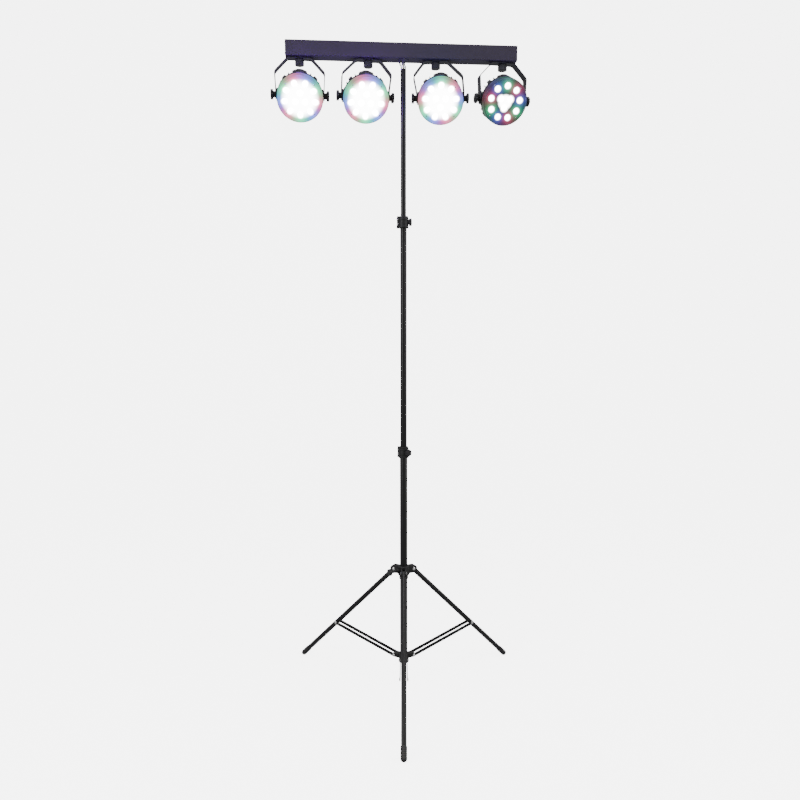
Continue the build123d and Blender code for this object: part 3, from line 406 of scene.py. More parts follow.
def screw_heads(name, places, radius, body, material=None, place=None):
    """Domed heads with a cross recess, as one piece; places are (point, outward direction)."""
    mesh = bmesh.new()
    tall = radius * 0.55
    for point, out in places:
        slot_r = radius * 0.62
        rings = [(0, tall * 0.35), (slot_r * 0.30, tall * 0.40), (slot_r, tall * 0.86)]
        rings += [(slot_r + 0.1, tall * 0.9), (radius * 0.8, tall * 0.74), (radius * 0.96, tall * 0.4)]
        rings += [(radius, 0), (radius * 0.9, -0.2)]
        single = turned(rings, 20)
        # pinch the recess into a cross
        for vertex in single.verts:
            r = hypot(vertex.co.x, vertex.co.y)
            if 0 < r < slot_r * 1.01:
                arm = abs(cos(2 * atan2(vertex.co.y, vertex.co.x))) ** 3
                vertex.co.x *= 0.35 + 0.65 * arm
                vertex.co.y *= 0.35 + 0.65 * arm
        joined(mesh, single, facing(point, out))
    return finish_piece(mesh, name, material or zinc, body, place=place, sharp=40)


def pressed(loops, low, high, edge, steps=2):
    """A plate cut to 2-D outlines between two heights, with softened rims."""
    curve = bpy.data.curves.new("cut_outline", "CURVE")
    curve.dimensions = "2D"
    curve.fill_mode = "BOTH"
    curve.extrude = (high - low) / 2 - edge
    curve.bevel_depth = edge
    curve.bevel_resolution = steps
    curve.offset = -edge
    for loop in loops:
        spline = curve.splines.new("POLY")
        spline.points.add(len(loop) - 1)
        for point, (x, y) in zip(spline.points, loop):
            point.co = (x, y, 0, 1)
        spline.use_cyclic_u = True
    holder = bpy.data.objects.new("cut_outline", curve)
    bpy.context.scene.collection.objects.link(holder)
    graph = bpy.context.evaluated_depsgraph_get()
    data = bpy.data.meshes.new_from_object(holder.evaluated_get(graph))
    data.transform(Matrix.Translation((0, 0, (high + low) / 2)))
    bpy.data.objects.remove(holder)
    bpy.data.curves.remove(curve)
    added = bmesh.new()
    added.from_mesh(data)
    bpy.data.meshes.remove(data)
    bmesh.ops.remove_doubles(added, verts=added.verts, dist=1e-3)
    return added


def circle(radius, count=32, centre=(0, 0)):
    turns = [2 * pi * step / count for step in range(count)]
    return [(centre[0] + radius * cos(a), centre[1] + radius * sin(a)) for a in turns]


def rectangle(width, height, corner=0.0, centre=(0, 0)):
    x, y = width / 2, height / 2
    outline = [(centre[0] + a * x, centre[1] + b * y) for a, b in ((-1, -1), (1, -1), (1, 1), (-1, 1))]
    return eased(outline, corner, 5) if corner else outline


def lobed(radius, lobes, depth, count=96):
    """Outline of a grip with rounded lobes."""
    points = []
    for step in range(count):
        a = 2 * pi * step / count
        reach = radius - depth * (0.5 + 0.5 * cos(lobes * a)) ** 2
        points.append((reach * cos(a), reach * sin(a)))
    return points


zinc = wear("steel", coat(
    "zinc_steel", (0.42, 0.42, 0.43), (0.58, 0.58, 0.57), 0.34, 0.10, 500, 0.10, 0.0, 1.0, 0.12, 0.5))
black_zinc = coat("black_zinc", (0.03, 0.03, 0.032), (0.05, 0.05, 0.053), 0.38, 0.10, 500, 0.10, 0.0, 0.6,
    0.1)
clamp_nylon = wear("clamp_plastic", coat(
    "clamp_nylon", (0.006, 0.006, 0.0065), (0.012, 0.012, 0.0125), 0.48, 0.30, 1600, 0.15))
CLAMP_R = 18.0
CLAMP_HEIGHT = 40.0


def split_ring(outer, bore, jaw_reach):
    """Outline of a ring that is open on its -X side, with a jaw each side of the slot."""
    gap = 1.0
    half = 9.0
    inside = [pi - atan2(gap, bore) - step * (2 * pi - 2 * atan2(gap, bore)) / 48 for step in range(49)]
    start = atan2(half, sqrt(outer ** 2 - half ** 2))
    outside = [-pi + start + step * (2 * pi - 2 * start) / 48 for step in range(49)]
    loop = [(bore * cos(a), bore * sin(a)) for a in inside]
    loop += [(-jaw_reach, -gap), (-jaw_reach, -half)]
    loop += [(outer * cos(a), outer * sin(a)) for a in outside]
    loop += [(-jaw_reach, half), (-jaw_reach, gap)]
    return loop


def joint_axis(name):
    """Where a joint is and which way its axis points, in millimetres."""
    joint = next(j for j in frame["record"]["behaviour"]["joints"] if j["name"] == name)
    return Vector(joint.get("pos_m", (0, 0, 0))) / MM, Vector(joint["axis"])


for side, body, outer_r, inner_r in (("lower", "base", 13.5, 11.5), ("upper", "middle_mast", 11.5, 9.5)):
    centre, out = joint_axis(side + "_knob_turn")
    along_knob = Matrix.Translation(centre - Vector((0, 0, CLAMP_HEIGHT / 2)))
    along_knob = along_knob @ Matrix.Rotation(atan2(out.y, out.x), 4, "Z")
    mesh = bmesh.new()
    bore = outer_r + 0.05
    for low, high, reach, hole, edge in (
        (0, 8, CLAMP_R, bore, 0.8), (7.5, 26.5, CLAMP_R - 1.0, bore, 0.3),
        (26, 34, CLAMP_R, bore, 0.8), (33.5, CLAMP_HEIGHT, CLAMP_R - 1.2, inner_r + 0.3, 1.2),
    ):
        joined(mesh, pressed([split_ring(reach, hole, reach + 5.5)], low, high, edge))
    boss = eased([(4, CLAMP_R - 5), (9, CLAMP_R - 5), (9, CLAMP_R + 1), (3.2, CLAMP_R + 1)], 0.8, 3,
        closed=False)
    joined(mesh, turned(boss, 40),
        Matrix.Translation((0, 0, CLAMP_HEIGHT / 2)) @ facing((0, 0, 0), (1, 0, 0)))
    mesh.transform(along_knob)
    finish_piece(mesh, side + "_clamp_collar", clamp_nylon, body, [side + "_clamp"])
    jaw = along_knob.to_3x3()
    jaw_screws = [
        (along_knob @ Vector((-20.5, 9.0 * y, z)), jaw @ Vector((0, y, 0)))
        for y in (-1, 1) for z in (12, 28)
    ]
    screw_heads(side + "_jaw_screws", jaw_screws, 2.6, body)


# ---- Clamp knobs: black six-lobed grips moulded on a zinc-plated screw --------------------
# The crown's knob is the same moulding on a longer stem.
knob_plastic = wear("knob_plastic", coat(
    "knob_plastic", (0.007, 0.007, 0.0085), (0.013, 0.013, 0.015), 0.40, 0.20, 2200, 0.12))


def grip(radius, lobes, depth, low, high, edge=1.4, dish=1.2):
    """A lobed head with softened rims and a shallow dished cap on top."""
    mesh = pressed([lobed(radius, lobes, depth)], low, high, edge, 3)
    cap_r = radius - depth - 3.0
    cap = [(cap_r, high - 0.6), (cap_r, high + 0.3), (cap_r - 0.6, high + 0.6), (cap_r - 1.6, high + 0.5)]
    cap += [(cap_r * 0.5, high + 0.6 - dish * 0.6), (0, high + 0.6 - dish)]
    return joined(mesh, turned(cap, 40))


def threaded(radius, low, high, pitch=1.2, depth=0.25):
    """A screw shank with rolled grooves."""
    count = max(2, int((high - low) / pitch))
    rings = [(0, low), (radius - 0.6, low)]
    for step in range(count):
        z = low + (step + 0.5) * (high - low) / count
        rings += [(radius, z - pitch * 0.2), (radius - depth, z + pitch * 0.2)]
    return turned(rings + [(radius, high)], 24)


for side, body, tube_r in (("lower", "lower_knob", 13.5), ("upper", "upper_knob", 11.5)):
    centre, out = joint_axis(side + "_knob_turn")
    axis = facing(centre * MM, out)
    seat = CLAMP_R + 1.3
    mesh = grip(13.0, 6, 1.7, seat, seat + 9.7)
    finish_piece(mesh, side + "_knob_grip", knob_plastic, body, [side + "_clamp_knob"], axis)
    finish_piece(
        threaded(3.0, tube_r + 0.3, seat + 1), side + "_knob_screw", zinc, body, place=axis,
        sharp=50)


# ---- Crown: a nylon casting that slides on the bottom tube and carries the legs -----------
# Each leg turns on a riveted pin between two cheeks; a skirt and a boss are moulded in.
def basis(origin, x, y, z):
    made = Matrix((x, y, z)).transposed().to_4x4()
    made.translation = origin
    return made


def spoke(name):
    """The frame of one fold pivot: X outward, Y up, Z across the pin."""
    centre, pin = joint_axis(name)
    outward = Vector((centre.x, centre.y, 0)).normalized()
    up = Vector((0, 0, 1))
    return basis(centre, outward, up, outward.cross(up))


def rivet(half, radius=5.5, head=2.0, pin=3.0):
    """A pin with a domed head at each end, about the origin along Z."""
    profile = [(0, -half - head), (radius * 0.55, -half - head * 0.85), (radius, -half - head * 0.25),
        (radius, -half)]
    profile += [(pin, -half), (pin, half), (radius, half), (radius, half + head * 0.25)]
    profile += [(radius * 0.55, half + head * 0.85), (0, half + head)]
    return turned(profile, 28)


def tab(reach, half, nose_r, steps=16):
    """Outline of a lug: flat toward the middle and round about the pin."""
    arc = [pi / 2 - step * pi / steps for step in range(steps + 1)]
    return [(-reach, half), *[(nose_r * cos(a), nose_r * sin(a)) for a in arc], (-reach, -half)]


pivots = [spoke(f"leg_{number}_fold") for number in (1, 2, 3)]
crown_z = pivots[0].translation.z
CROWN_R = 21.0
PIVOT_R = 38.0
crown_profile = eased([
    (13.8, crown_z - 32), (16.5, crown_z - 32), (16.5, crown_z - 17), (CROWN_R, crown_z - 17),
    (CROWN_R, crown_z - 12), (CROWN_R - 0.8, crown_z - 11), (CROWN_R - 0.8, crown_z + 9),
    (CROWN_R, crown_z + 10),
    (CROWN_R, crown_z + 15), (CROWN_R - 2, crown_z + 17), (13.8, crown_z + 17),
], 0.8, 3)
mesh = turned(crown_profile, 72, closed=True)
lock_centre, lock_out = joint_axis("crown_knob_turn")
boss = eased([(5, 16), (8, 16), (8, 30), (3.2, 30)], 0.8, 3, closed=False)
joined(mesh, turned(boss, 36), facing(lock_centre, lock_out))
for pivot in pivots:
    for low in (4.8, -9.8):
        cheek = pressed([tab(PIVOT_R - CROWN_R + 4, 14, 14, 20), circle(3.05, 20)], low, low + 5, 0.8)
        joined(mesh, cheek, pivot)
    # a web closes the cheeks at the crown's wall
    joined(mesh, pressed([rectangle(6, 24, 1.0, (-PIVOT_R + CROWN_R + 1, 0))], -5.5, 5.5, 0.5), pivot)
finish_piece(mesh, "crown_casting", clamp_nylon, "crown", ["crown"])
mesh = bmesh.new()
for pivot in pivots:
    joined(mesh, rivet(9.95), pivot)
finish_piece(mesh, "crown_rivets", zinc, "crown")

axis = facing(lock_centre * MM, lock_out)
mesh = grip(13.0, 6, 1.7, 54, 63.7)
stem = eased([(0, 30.3), (6, 30.3), (6, 36), (5.2, 38), (5.2, 50), (7.5, 54.5)], 0.8, 3, closed=False)
joined(mesh, turned(stem, 36))
finish_piece(mesh, "crown_knob_grip", knob_plastic, "crown_lock", ["crown_knob"], axis)
finish_piece(threaded(3.0, 13.8, 31), "crown_knob_screw", zinc, "crown_lock", place=axis, sharp=50)


# ---- Base hub: a nylon socket pressed on the foot of the mast -----------------------------
# Three lugs stand out from it; a riveted pin through each carries a pair of brace bars.
hub_pivots = [spoke(f"brace_{number}_fold") for number in (1, 2, 3)]
hub_z = hub_pivots[0].translation.z
HUB_R = 19.0
HUB_PIVOT_R = 36.0
hub_low, hub_high = box_mm("base_hub")[0].z, hub_z + 12
hub_profile = eased([
    (0, hub_low), (HUB_R - 2, hub_low), (HUB_R, hub_low + 2), (HUB_R, hub_low + 9),
    (HUB_R - 0.7, hub_low + 10),
    (HUB_R - 0.7, hub_high - 4), (HUB_R, hub_high - 3), (HUB_R, hub_high), (13.55, hub_high),
    (13.55, hub_low + 4), (0, hub_low + 4),
], 0.8, 3, closed=False)
mesh = turned(hub_profile, 72)
for pivot in hub_pivots:
    lug = pressed([tab(HUB_PIVOT_R - HUB_R + 3, 8, 8, 20), circle(3.05, 20)], -10.7, 10.7, 0.8)
    joined(mesh, lug, pivot)
finish_piece(mesh, "base_hub_casting", clamp_nylon, "base", ["base_hub"])
mesh = bmesh.new()
for pivot in hub_pivots:
    joined(mesh, rivet(13.8), pivot)
finish_piece(mesh, "hub_rivets", zinc, "base")


# ---- Legs: steel tube, enamelled, with a flattened tongue and a ribbed rubber foot --------
# The tongue's plug is pressed into the tube; the foot is pulled over the end.
rubber = coat("foot_rubber", (0.010, 0.010, 0.010), (0.020, 0.020, 0.020), 0.75, 0.35, 1200, 0.5)
LEG_ANGLE = radians(45)
LEG_LENGTH = (crown_z - 10.5) / cos(LEG_ANGLE)
LEG_R = 9.0
FOOT_R = 10.5
TUBE_START = 16.15
for number, pivot in enumerate(pivots, 1):
    outward, up, across = (pivot.col[axis].to_3d() for axis in range(3))
    down = outward * sin(LEG_ANGLE) - up * cos(LEG_ANGLE)
    leg_line = basis(pivot.translation * MM, across, down.cross(across), down)
    # in the leg's own frame X runs across the pin and Z down the leg
    tongue_line = [(-9 * cos(a), 9 * sin(a)) for a in (pi / 2 - step * pi / 20 for step in range(21))]
    tongue_line += [(TUBE_START + 2, -8), (TUBE_START + 2, 8)]
    to_leg = Matrix(((0, 0, 1, 0), (0, 1, 0, 0), (1, 0, 0, 0), (0, 0, 0, 1)))
    mesh = joined(bmesh.new(), pressed([tongue_line, circle(3.08, 20)], -4.5, 4.5, 0.6), to_leg)
    joined(mesh, turned([(0, TUBE_START), (7.65, TUBE_START), (7.65, 46), (0, 46)], 32))
    tube_end = LEG_LENGTH - 4
    wall = [(LEG_R - TUBE_WALL, TUBE_START), (LEG_R, TUBE_START), (LEG_R, tube_end),
        (LEG_R - TUBE_WALL, tube_end)]
    joined(mesh, turned(eased(wall, 0.5), 48, closed=True))
    finish_piece(mesh, f"leg_{number}_tube", enamel, f"leg_{number}", [f"leg_{number}"],
        leg_line)
    ribs = [(LEG_R + 0.1, LEG_LENGTH - 35), (FOOT_R - 0.8, LEG_LENGTH - 35)]
    for step in range(5):
        z = LEG_LENGTH - 34 + step * 6
        ribs += [(FOOT_R, z), (FOOT_R, z + 4), (FOOT_R - 0.7, z + 4.7), (FOOT_R - 0.7, z + 5.3)]
    ribs += [(FOOT_R, LEG_LENGTH - 3)]
    ribs += [(FOOT_R * cos(a), LEG_LENGTH + FOOT_R * sin(a)) for a in (step * pi / 20 for step in range(11))]
    ribs[-1] = (0, LEG_LENGTH + FOOT_R)
    finish_piece(turned(ribs, 48), f"foot_{number}", rubber, f"leg_{number}",
        place=leg_line, sharp=50)


# ---- Braces: pairs of flat steel bars, enamelled, from the hub to each leg ----------------
# The bars stand one each side of the leg; a rivet joins them to it.
BRACE_ON_LEG = 372.0
BRACE_WIDTH = 12.5
BRACE_INNER = 11.0
BRACE_THICK = 2.5
for number, (pivot, leg_pivot) in enumerate(zip(hub_pivots, pivots), 1):
    outward, up, across = (leg_pivot.col[axis].to_3d() for axis in range(3))
    down = outward * sin(LEG_ANGLE) - up * cos(LEG_ANGLE)
    tip = leg_pivot.translation + down * BRACE_ON_LEG
    reach = tip - pivot.translation
    bar_dir = reach.normalized()
    bar_place = basis(pivot.translation * MM, bar_dir, across.cross(bar_dir), across)
    half = BRACE_WIDTH / 2
    back = [(-half * cos(a), -half * sin(a)) for a in (pi / 2 - step * pi / 16 for step in range(17))]
    front = [(reach.length + half * cos(a),
        -half * sin(a)) for a in (-pi / 2 + step * pi / 16 for step in range(17))]
    outline = back + front
    mesh = bmesh.new()
    for low in (BRACE_INNER, -BRACE_INNER - BRACE_THICK):
        bar = pressed([outline, circle(3.08, 20)], low, low + BRACE_THICK, 0.5)
        joined(mesh, bar)
    finish_piece(mesh, f"brace_{number}_bars", enamel, f"brace_{number}",
        [f"brace_{number}"], bar_place)
    mesh = bmesh.new()
    outer = BRACE_INNER + BRACE_THICK
    for side in (-1, 1):
        head = turned([(5.5, 0), (5.5, 0.5), (3.0, 1.7), (0, 2.0)], 28)
        tilt = Matrix.Rotation(0 if side > 0 else pi, 4, "X")
        joined(mesh, head, Matrix.Translation((reach.length, 0, side * outer)) @ tilt)
    finish_piece(mesh, f"brace_{number}_rivet", zinc, f"brace_{number}", place=bar_place)


# ---- T-bar: folded steel box, powder coated, with a cap screwed in each end ---------------
# The housing keeps its drawn shape; the caps have a pressed edge and four screws each.
# The bar's coat is black; the violet tint and lighter tone in both its colours are painted light from the
# heads' lamps.
bar_paint = wear("bar_paint", coat(
    "bar_coat_and_painted_violet_light", (0.022, 0.018, 0.028), (0.033, 0.026, 0.041), 0.55, 0.30, 1500, 0.10, specular=0.2))
bar_low, bar_high = box_mm("bar_housing")
bar_top = bar_high.z
bar_floor = bar_top - 50
bar_middle = (bar_floor + bar_top) / 2
bar_back = bar_high.y
cap_at = {-1: bar_low.x - 0.15, 1: bar_high.x + 0.15}
CAP_THICK = 2.0
mesh = bmesh.new()
for side in (-1, 1):
    cap = pressed([rectangle(2 * bar_back, bar_top - bar_floor, 3)], 0, CAP_THICK, 0.6, 3)
    joined(mesh, cap, facing((cap_at[side], 0, bar_middle), (side, 0, 0)))
finish_piece(mesh, "end_cap_plates", bar_paint, "t_bar", ["bar_end_caps"])
cap_screws = [
    ((cap_at[side] + side * (CAP_THICK - 0.05), y, bar_middle + z), (side, 0, 0))
    for side in (-1, 1) for y in (-16, 16) for z in (-17, 17)
]
screw_heads("end_cap_screws", cap_screws, 3.0, "t_bar", material=black_zinc)
body_screws = [
    ((cap_at[side] - side * 12, face * bar_back, bar_floor + 9), (0, face, 0))
    for side in (-1, 1) for face in (-1, 1)
]
screw_heads("housing_screws", body_screws, 2.6, "t_bar", material=black_zinc)


# ---- Mast socket: a zinc-plated sleeve welded through the bar's floor ---------------------
# A flange spreads the load, a bent ear braces the stud, and a knob behind the bar locks it.
flange_z = bar_floor - 0.15
sleeve = eased([
    (6.1, flange_z - 1.5), (17.2, flange_z - 1.5), (18, flange_z - 0.8), (18, flange_z), (10, flange_z),
    (10, bar_floor + 42), (6.1, bar_floor + 42),
], 0.4, 2)
mesh = turned(sleeve, 56, closed=True)
ear = [(-17, -1.5), (-10.5, -1.5), (-8.5, -17.5), (-11.5, -17.5)]
joined(mesh, pressed([eased(ear, 0.8)], -3, 3, 0.5), facing((0, 0, flange_z), (0, -1, 0)))
finish_piece(mesh, "socket_sleeve", bar_paint, "t_bar", ["mast_socket"])

lock_centre, lock_out = joint_axis("socket_knob_turn")
axis = facing(lock_centre * MM, lock_out)
knob_low = bar_back + 1
mesh = grip(11.0, 6, 1.7, knob_low, knob_low + 11.6)
finish_piece(mesh, "socket_knob_grip", knob_plastic, "socket_knob", ["mast_socket_knob"],
    axis)
finish_piece(threaded(3.0, 7.1, knob_low + 1), "socket_knob_screw", zinc, "socket_knob",
    place=axis, sharp=50)


# ---- Rear panel: a pressed plate with mains sockets, data sockets, display and buttons ----
# The plate is screwed over a window in the bar's back; its sockets are black mouldings.
socket_plastic = wear("socket_plastic", coat(
    "socket_plastic", (0.006, 0.006, 0.0065), (0.011, 0.011, 0.0115), 0.35, 0.12, 2000, 0.08))
panel_low, panel_high = box_mm("rear_panel")
panel_x, panel_y = (panel_low.x + panel_high.x) / 2, panel_high.y
panel_screws = [
    ((panel_x + x, panel_y, bar_middle + z), (0, 1, 0)) for x in (-83, 83) for z in (-17, 17)
]
screw_heads("panel_screws", panel_screws, 2.2, "t_bar")
bezel_y = panel_y + 2.15
brass, tree, skin = shader("contact_brass")
grain = use(tree, grain_group, Grain_Size=700.0)
metal = node(tree, "ShaderNodeMix", data_type="RGBA")
metal.inputs["A"].default_value = (0.72, 0.52, 0.24, 1)
metal.inputs["B"].default_value = (0.82, 0.64, 0.34, 1)
tree.links.new(grain.outputs["Drift"], metal.inputs["Factor"])
tree.links.new(metal.outputs["Result"], skin.inputs["Base Color"])
tree.links.new(calculate(tree, "MULTIPLY_ADD", grain.outputs["Drift"], 0.2, 0.2), skin.inputs["Roughness"])
skin.inputs["Metallic"].default_value = 1.0
mesh = bmesh.new()
for x, z in ((-7, -2), (0, 2), (7, -2)):
    blade = pressed([rectangle(2.1, 4.1, 0.4)], 0, 8, 0.3)
    joined(mesh, blade, facing((panel_x - 66 + x, bezel_y - 15, bar_middle + z), (0, 1, 0)))
for x in (panel_x - 4, panel_x + 24):
    for turn in (90, 210, 330):
        spot = (x + 4 * cos(radians(turn)), bezel_y - 15, bar_middle + 4 * sin(radians(turn)))
        pin = turned([(0, 0), (1.25, 0), (1.25, 7), (0.6, 8), (0, 8.1)], 16)
        joined(mesh, pin, facing(spot, (0, 1, 0)))
finish_piece(mesh, "socket_contacts", brass, "t_bar")
socket_screws = [
    ((x + a, bezel_y, bar_middle + b), (0, 1, 0))
    for x in (panel_x - 4, panel_x + 24) for a, b in ((-9.5, 11.5), (9.5, -11.5))
]
screw_heads("socket_screws", socket_screws, 1.6, "t_bar")

display_glass, tree, skin = shader("display_glass")
place = node(tree, "ShaderNodeTexCoord")
bands = node(tree, "ShaderNodeTexWave", wave_type="BANDS", bands_direction="X", Scale=120.0)
tree.links.new(place.outputs["Object"], bands.inputs["Vector"])
tint = node(tree, "ShaderNodeValToRGB")
tint.color_ramp.elements[0].color = (0.020, 0.002, 0.002, 1)
tint.color_ramp.elements[1].color = (0.034, 0.004, 0.004, 1)
tree.links.new(bands.outputs["Fac"], tint.inputs["Fac"])
tree.links.new(tint.outputs["Color"], skin.inputs["Base Color"])
skin.inputs["Roughness"].default_value = 0.08
glass = pressed([rectangle(27.6, 11.6, 1.0)], 0, 0.5, 0.2)
finish_piece(
    glass, "display_window", display_glass, "t_bar",
    place=facing((Vector((panel_x + 60, panel_y + 0.55, bar_middle + 7))) * MM, (0, 1, 0)))

button_rubber = wear("button_rubber", coat(
    "button_rubber", (0.030, 0.030, 0.032), (0.045, 0.045, 0.048), 0.65, 0.30, 2400, 0.15))
for number in range(1, 5):
    low, high = box_mm(f"button_{number}")
    centre = Vector(((low.x + high.x) / 2, high.y, bar_middle - 8))
    stalk = eased([
        (0, low.y - high.y), (3.5, low.y - high.y), (3.5, low.y - high.y + 1), (2.8, low.y - high.y + 1),
        (2.8, -0.8), (2.2, -0.15), (1.2, -0.3), (0, -0.5),
    ], 0.3, 2, closed=False)
    finish_piece(
        turned(stalk, 28), f"button_cap_{number}", button_rubber, f"button_{number}",
        [f"button_{number}"], facing(centre * MM, (0, 1, 0)))


# ---- Power supply: a folded aluminium can with its driver board on top --------------------
# It lies inside the bar at the far end from the sockets; capacitors stand beside the outputs.
wear("electronics", coat(
    "drawn_aluminium", (0.60, 0.61, 0.62), (0.70, 0.70, 0.71), 0.36, 0.08, 400, 0.05, 0.0, 1.0, 0.12, 0.5))
low, high = box_mm("power_supply")
mesh = bmesh.new()
for step in range(5):
    can = turned(eased([(0, 0), (2.6, 0), (2.6, 6.4), (2.2, 6.8), (0, 6.8)], 0.4, 2, closed=False), 24)
    joined(mesh, can, Matrix.Translation(((low.x + high.x) / 2 - 28 + step * 14, 12.0, high.z - 8.0)))
finish_piece(mesh, "driver_capacitors", socket_plastic, "t_bar")


# ---- Yokes: bent steel strap, powder coated, one round each head --------------------------
# The strap hangs from the bar on a screw through its top and its arms end round the pivots.
yoke_paint = wear("yoke_paint", coat(
    "yoke_powder_coat", (0.008, 0.008, 0.010), (0.015, 0.015, 0.018), 0.46, 0.25, 1500, 0.20, specular=0.22))
STRAP_HALF = 15.0
STRAP_THICK = 3.0
ARM_X = 79.5 + STRAP_THICK
PIVOT_DROP = 122.0
YOKE_TOP = -2.3


def strap(path, half_width, thick, ends):
    """A flat bar swept along an (x, z) path, with softened edges and round ends."""
    mesh = bmesh.new()
    points = [Vector(point) for point in path]
    lengths = [0.0]
    for back, here in zip(points, points[1:]):
        lengths.append(lengths[-1] + (here - back).length)
    rings = []
    soft = 0.5
    for index, point in enumerate(points):
        back, ahead = points[max(index - 1, 0)], points[min(index + 1, len(points) - 1)]
        run = (ahead - back).normalized()
        side = Vector((-run.y, run.x))
        from_end = min(lengths[index], lengths[-1] - lengths[index])
        into = max(0.0, ends - from_end)
        wide = max(sqrt(max(half_width ** 2 - into ** 2, 0.0)), 0.7)
        ring = []
        for a, b in ((1, -1), (1, 1), (-1, 1), (-1, -1)):
            corner = ((a * (wide - soft), b * thick / 2), (a * wide, b * (thick / 2 - soft)))
            for w, t in (corner if (a * b) > 0 else corner[::-1]):
                spot = point + side * t
                ring.append(mesh.verts.new((spot.x, w, spot.y)))
        rings.append(ring)
    for low, high in zip(rings, rings[1:]):
        for step in range(8):
            mesh.faces.new((low[step], low[(step + 1) % 8], high[(step + 1) % 8], high[step]))
    mesh.faces.new(rings[0])
    mesh.faces.new(rings[-1])
    return mesh


middle = STRAP_THICK / 2
shoulder = ARM_X + 2.9 - middle
arm = ARM_X - middle
end_z = -PIVOT_DROP - STRAP_HALF
rounds = [end_z + 0.1 + STRAP_HALF * (1 - cos(step * pi / 20)) for step in range(10)]
yoke_frames = {}
for number in range(1, 5):
    centre, _ = joint_axis(f"pan_{number}")
    pivot, tilt_axis = joint_axis(f"tilt_{number}")
    along_pivot = -tilt_axis
    shift = (pivot - centre).dot(along_pivot)
    yoke_frames[number] = basis(centre * MM, along_pivot, Vector((0, 0, 1)).cross(along_pivot),
        Vector((0, 0, 1)))
    path = [(shift - arm, z) for z in rounds] + [(shift - arm, -PIVOT_DROP + 18)]
    path += [(shift / 2 - shoulder, -50), (-40, YOKE_TOP - middle), (40, YOKE_TOP - middle)]
    path += [(shift / 2 + shoulder, -50), (shift + arm, -PIVOT_DROP + 18)]
    path += [(shift + arm, z) for z in reversed(rounds)]
    mesh = strap(eased(path, 7.0, 6, closed=False), STRAP_HALF, STRAP_THICK, STRAP_HALF)
    finish_piece(
        mesh, f"yoke_{number}_strap", yoke_paint, f"yoke_{number}", [f"yoke_{number}"],
        yoke_frames[number])
    washer = turned(eased([(4.6, 0), (9.5, 0), (9.5, 0.25), (4.6, 0.25)], 0.1), 40, closed=True)
    washer.transform(Matrix.Translation((0, 0, YOKE_TOP)))
    finish_piece(washer, f"yoke_{number}_washer", zinc, f"yoke_{number}", place=yoke_frames[number])


# ---- Hang knobs: fluted black grips on the screws that hang the yokes ---------------------
# Each screw runs up through the strap into a threaded boss in the bar.
for number in range(1, 5):
    low, high = box_mm(f"hang_knob_{number}")
    bottom = low.z - bar_floor
    neck = YOKE_TOP - STRAP_THICK - 0.3
    mesh = pressed([lobed(15.5, 12, 1.1, 144)], bottom, neck - 3, 1.5, 3)
    under = [(11, bottom + 0.4), (11, bottom - 0.0), (9.8, bottom + 0.9), (0, bottom + 1.1)]
    joined(mesh, turned(under, 40))
    joined(mesh, turned([(11.5, neck - 3.2), (11.5, neck - 0.5), (11, neck), (0, neck)], 40))
    finish_piece(
        mesh, f"hang_knob_{number}_grip", knob_plastic, f"hang_knob_{number}",
        [f"hang_knob_{number}"], yoke_frames[number])
    finish_piece(
        threaded(4.0, neck - 1, high.z - bar_floor), f"hang_knob_{number}_screw", zinc, f"hang_knob_{number}",
        place=yoke_frames[number], sharp=50)


# ---- Rear housings: moulded shells with ribs, lugs, cooling slots and a cable gland -------
# A head's frame has X along its tilt axis and Z along its beam.
BODY_R = 77.0
LUG_FACE = 79.0
SPLIT_Z = 16.0
BACK_Z = -31.0
FACE_Z = 42.0
PLATE_Z = 34.0
PLATE_FRONT = 37.0
PHASE = {1: 180, 2: 180, 3: 0, 4: 0}
shell_plastic = wear("shell_plastic", coat(
    "shell_plastic", (0.008, 0.008, 0.0095), (0.014, 0.014, 0.016), 0.42, 0.22, 1800, 0.20))
head_frames = {}
for number in range(1, 5):
    centre, tilt_axis = joint_axis(f"tilt_{number}")
    joint = next(j for j in frame["record"]["behaviour"]["joints"] if j["name"] == f"tilt_{number}")
    nose_down = radians(joint["range_deg"][1] - 90)
    x = -tilt_axis.normalized()
    level = -Vector((0, 0, 1)).cross(x)
    beam = level * cos(nose_down) - Vector((0, 0, 1)) * sin(nose_down)
    head_frames[number] = basis(centre * MM, x, beam.cross(x), beam)

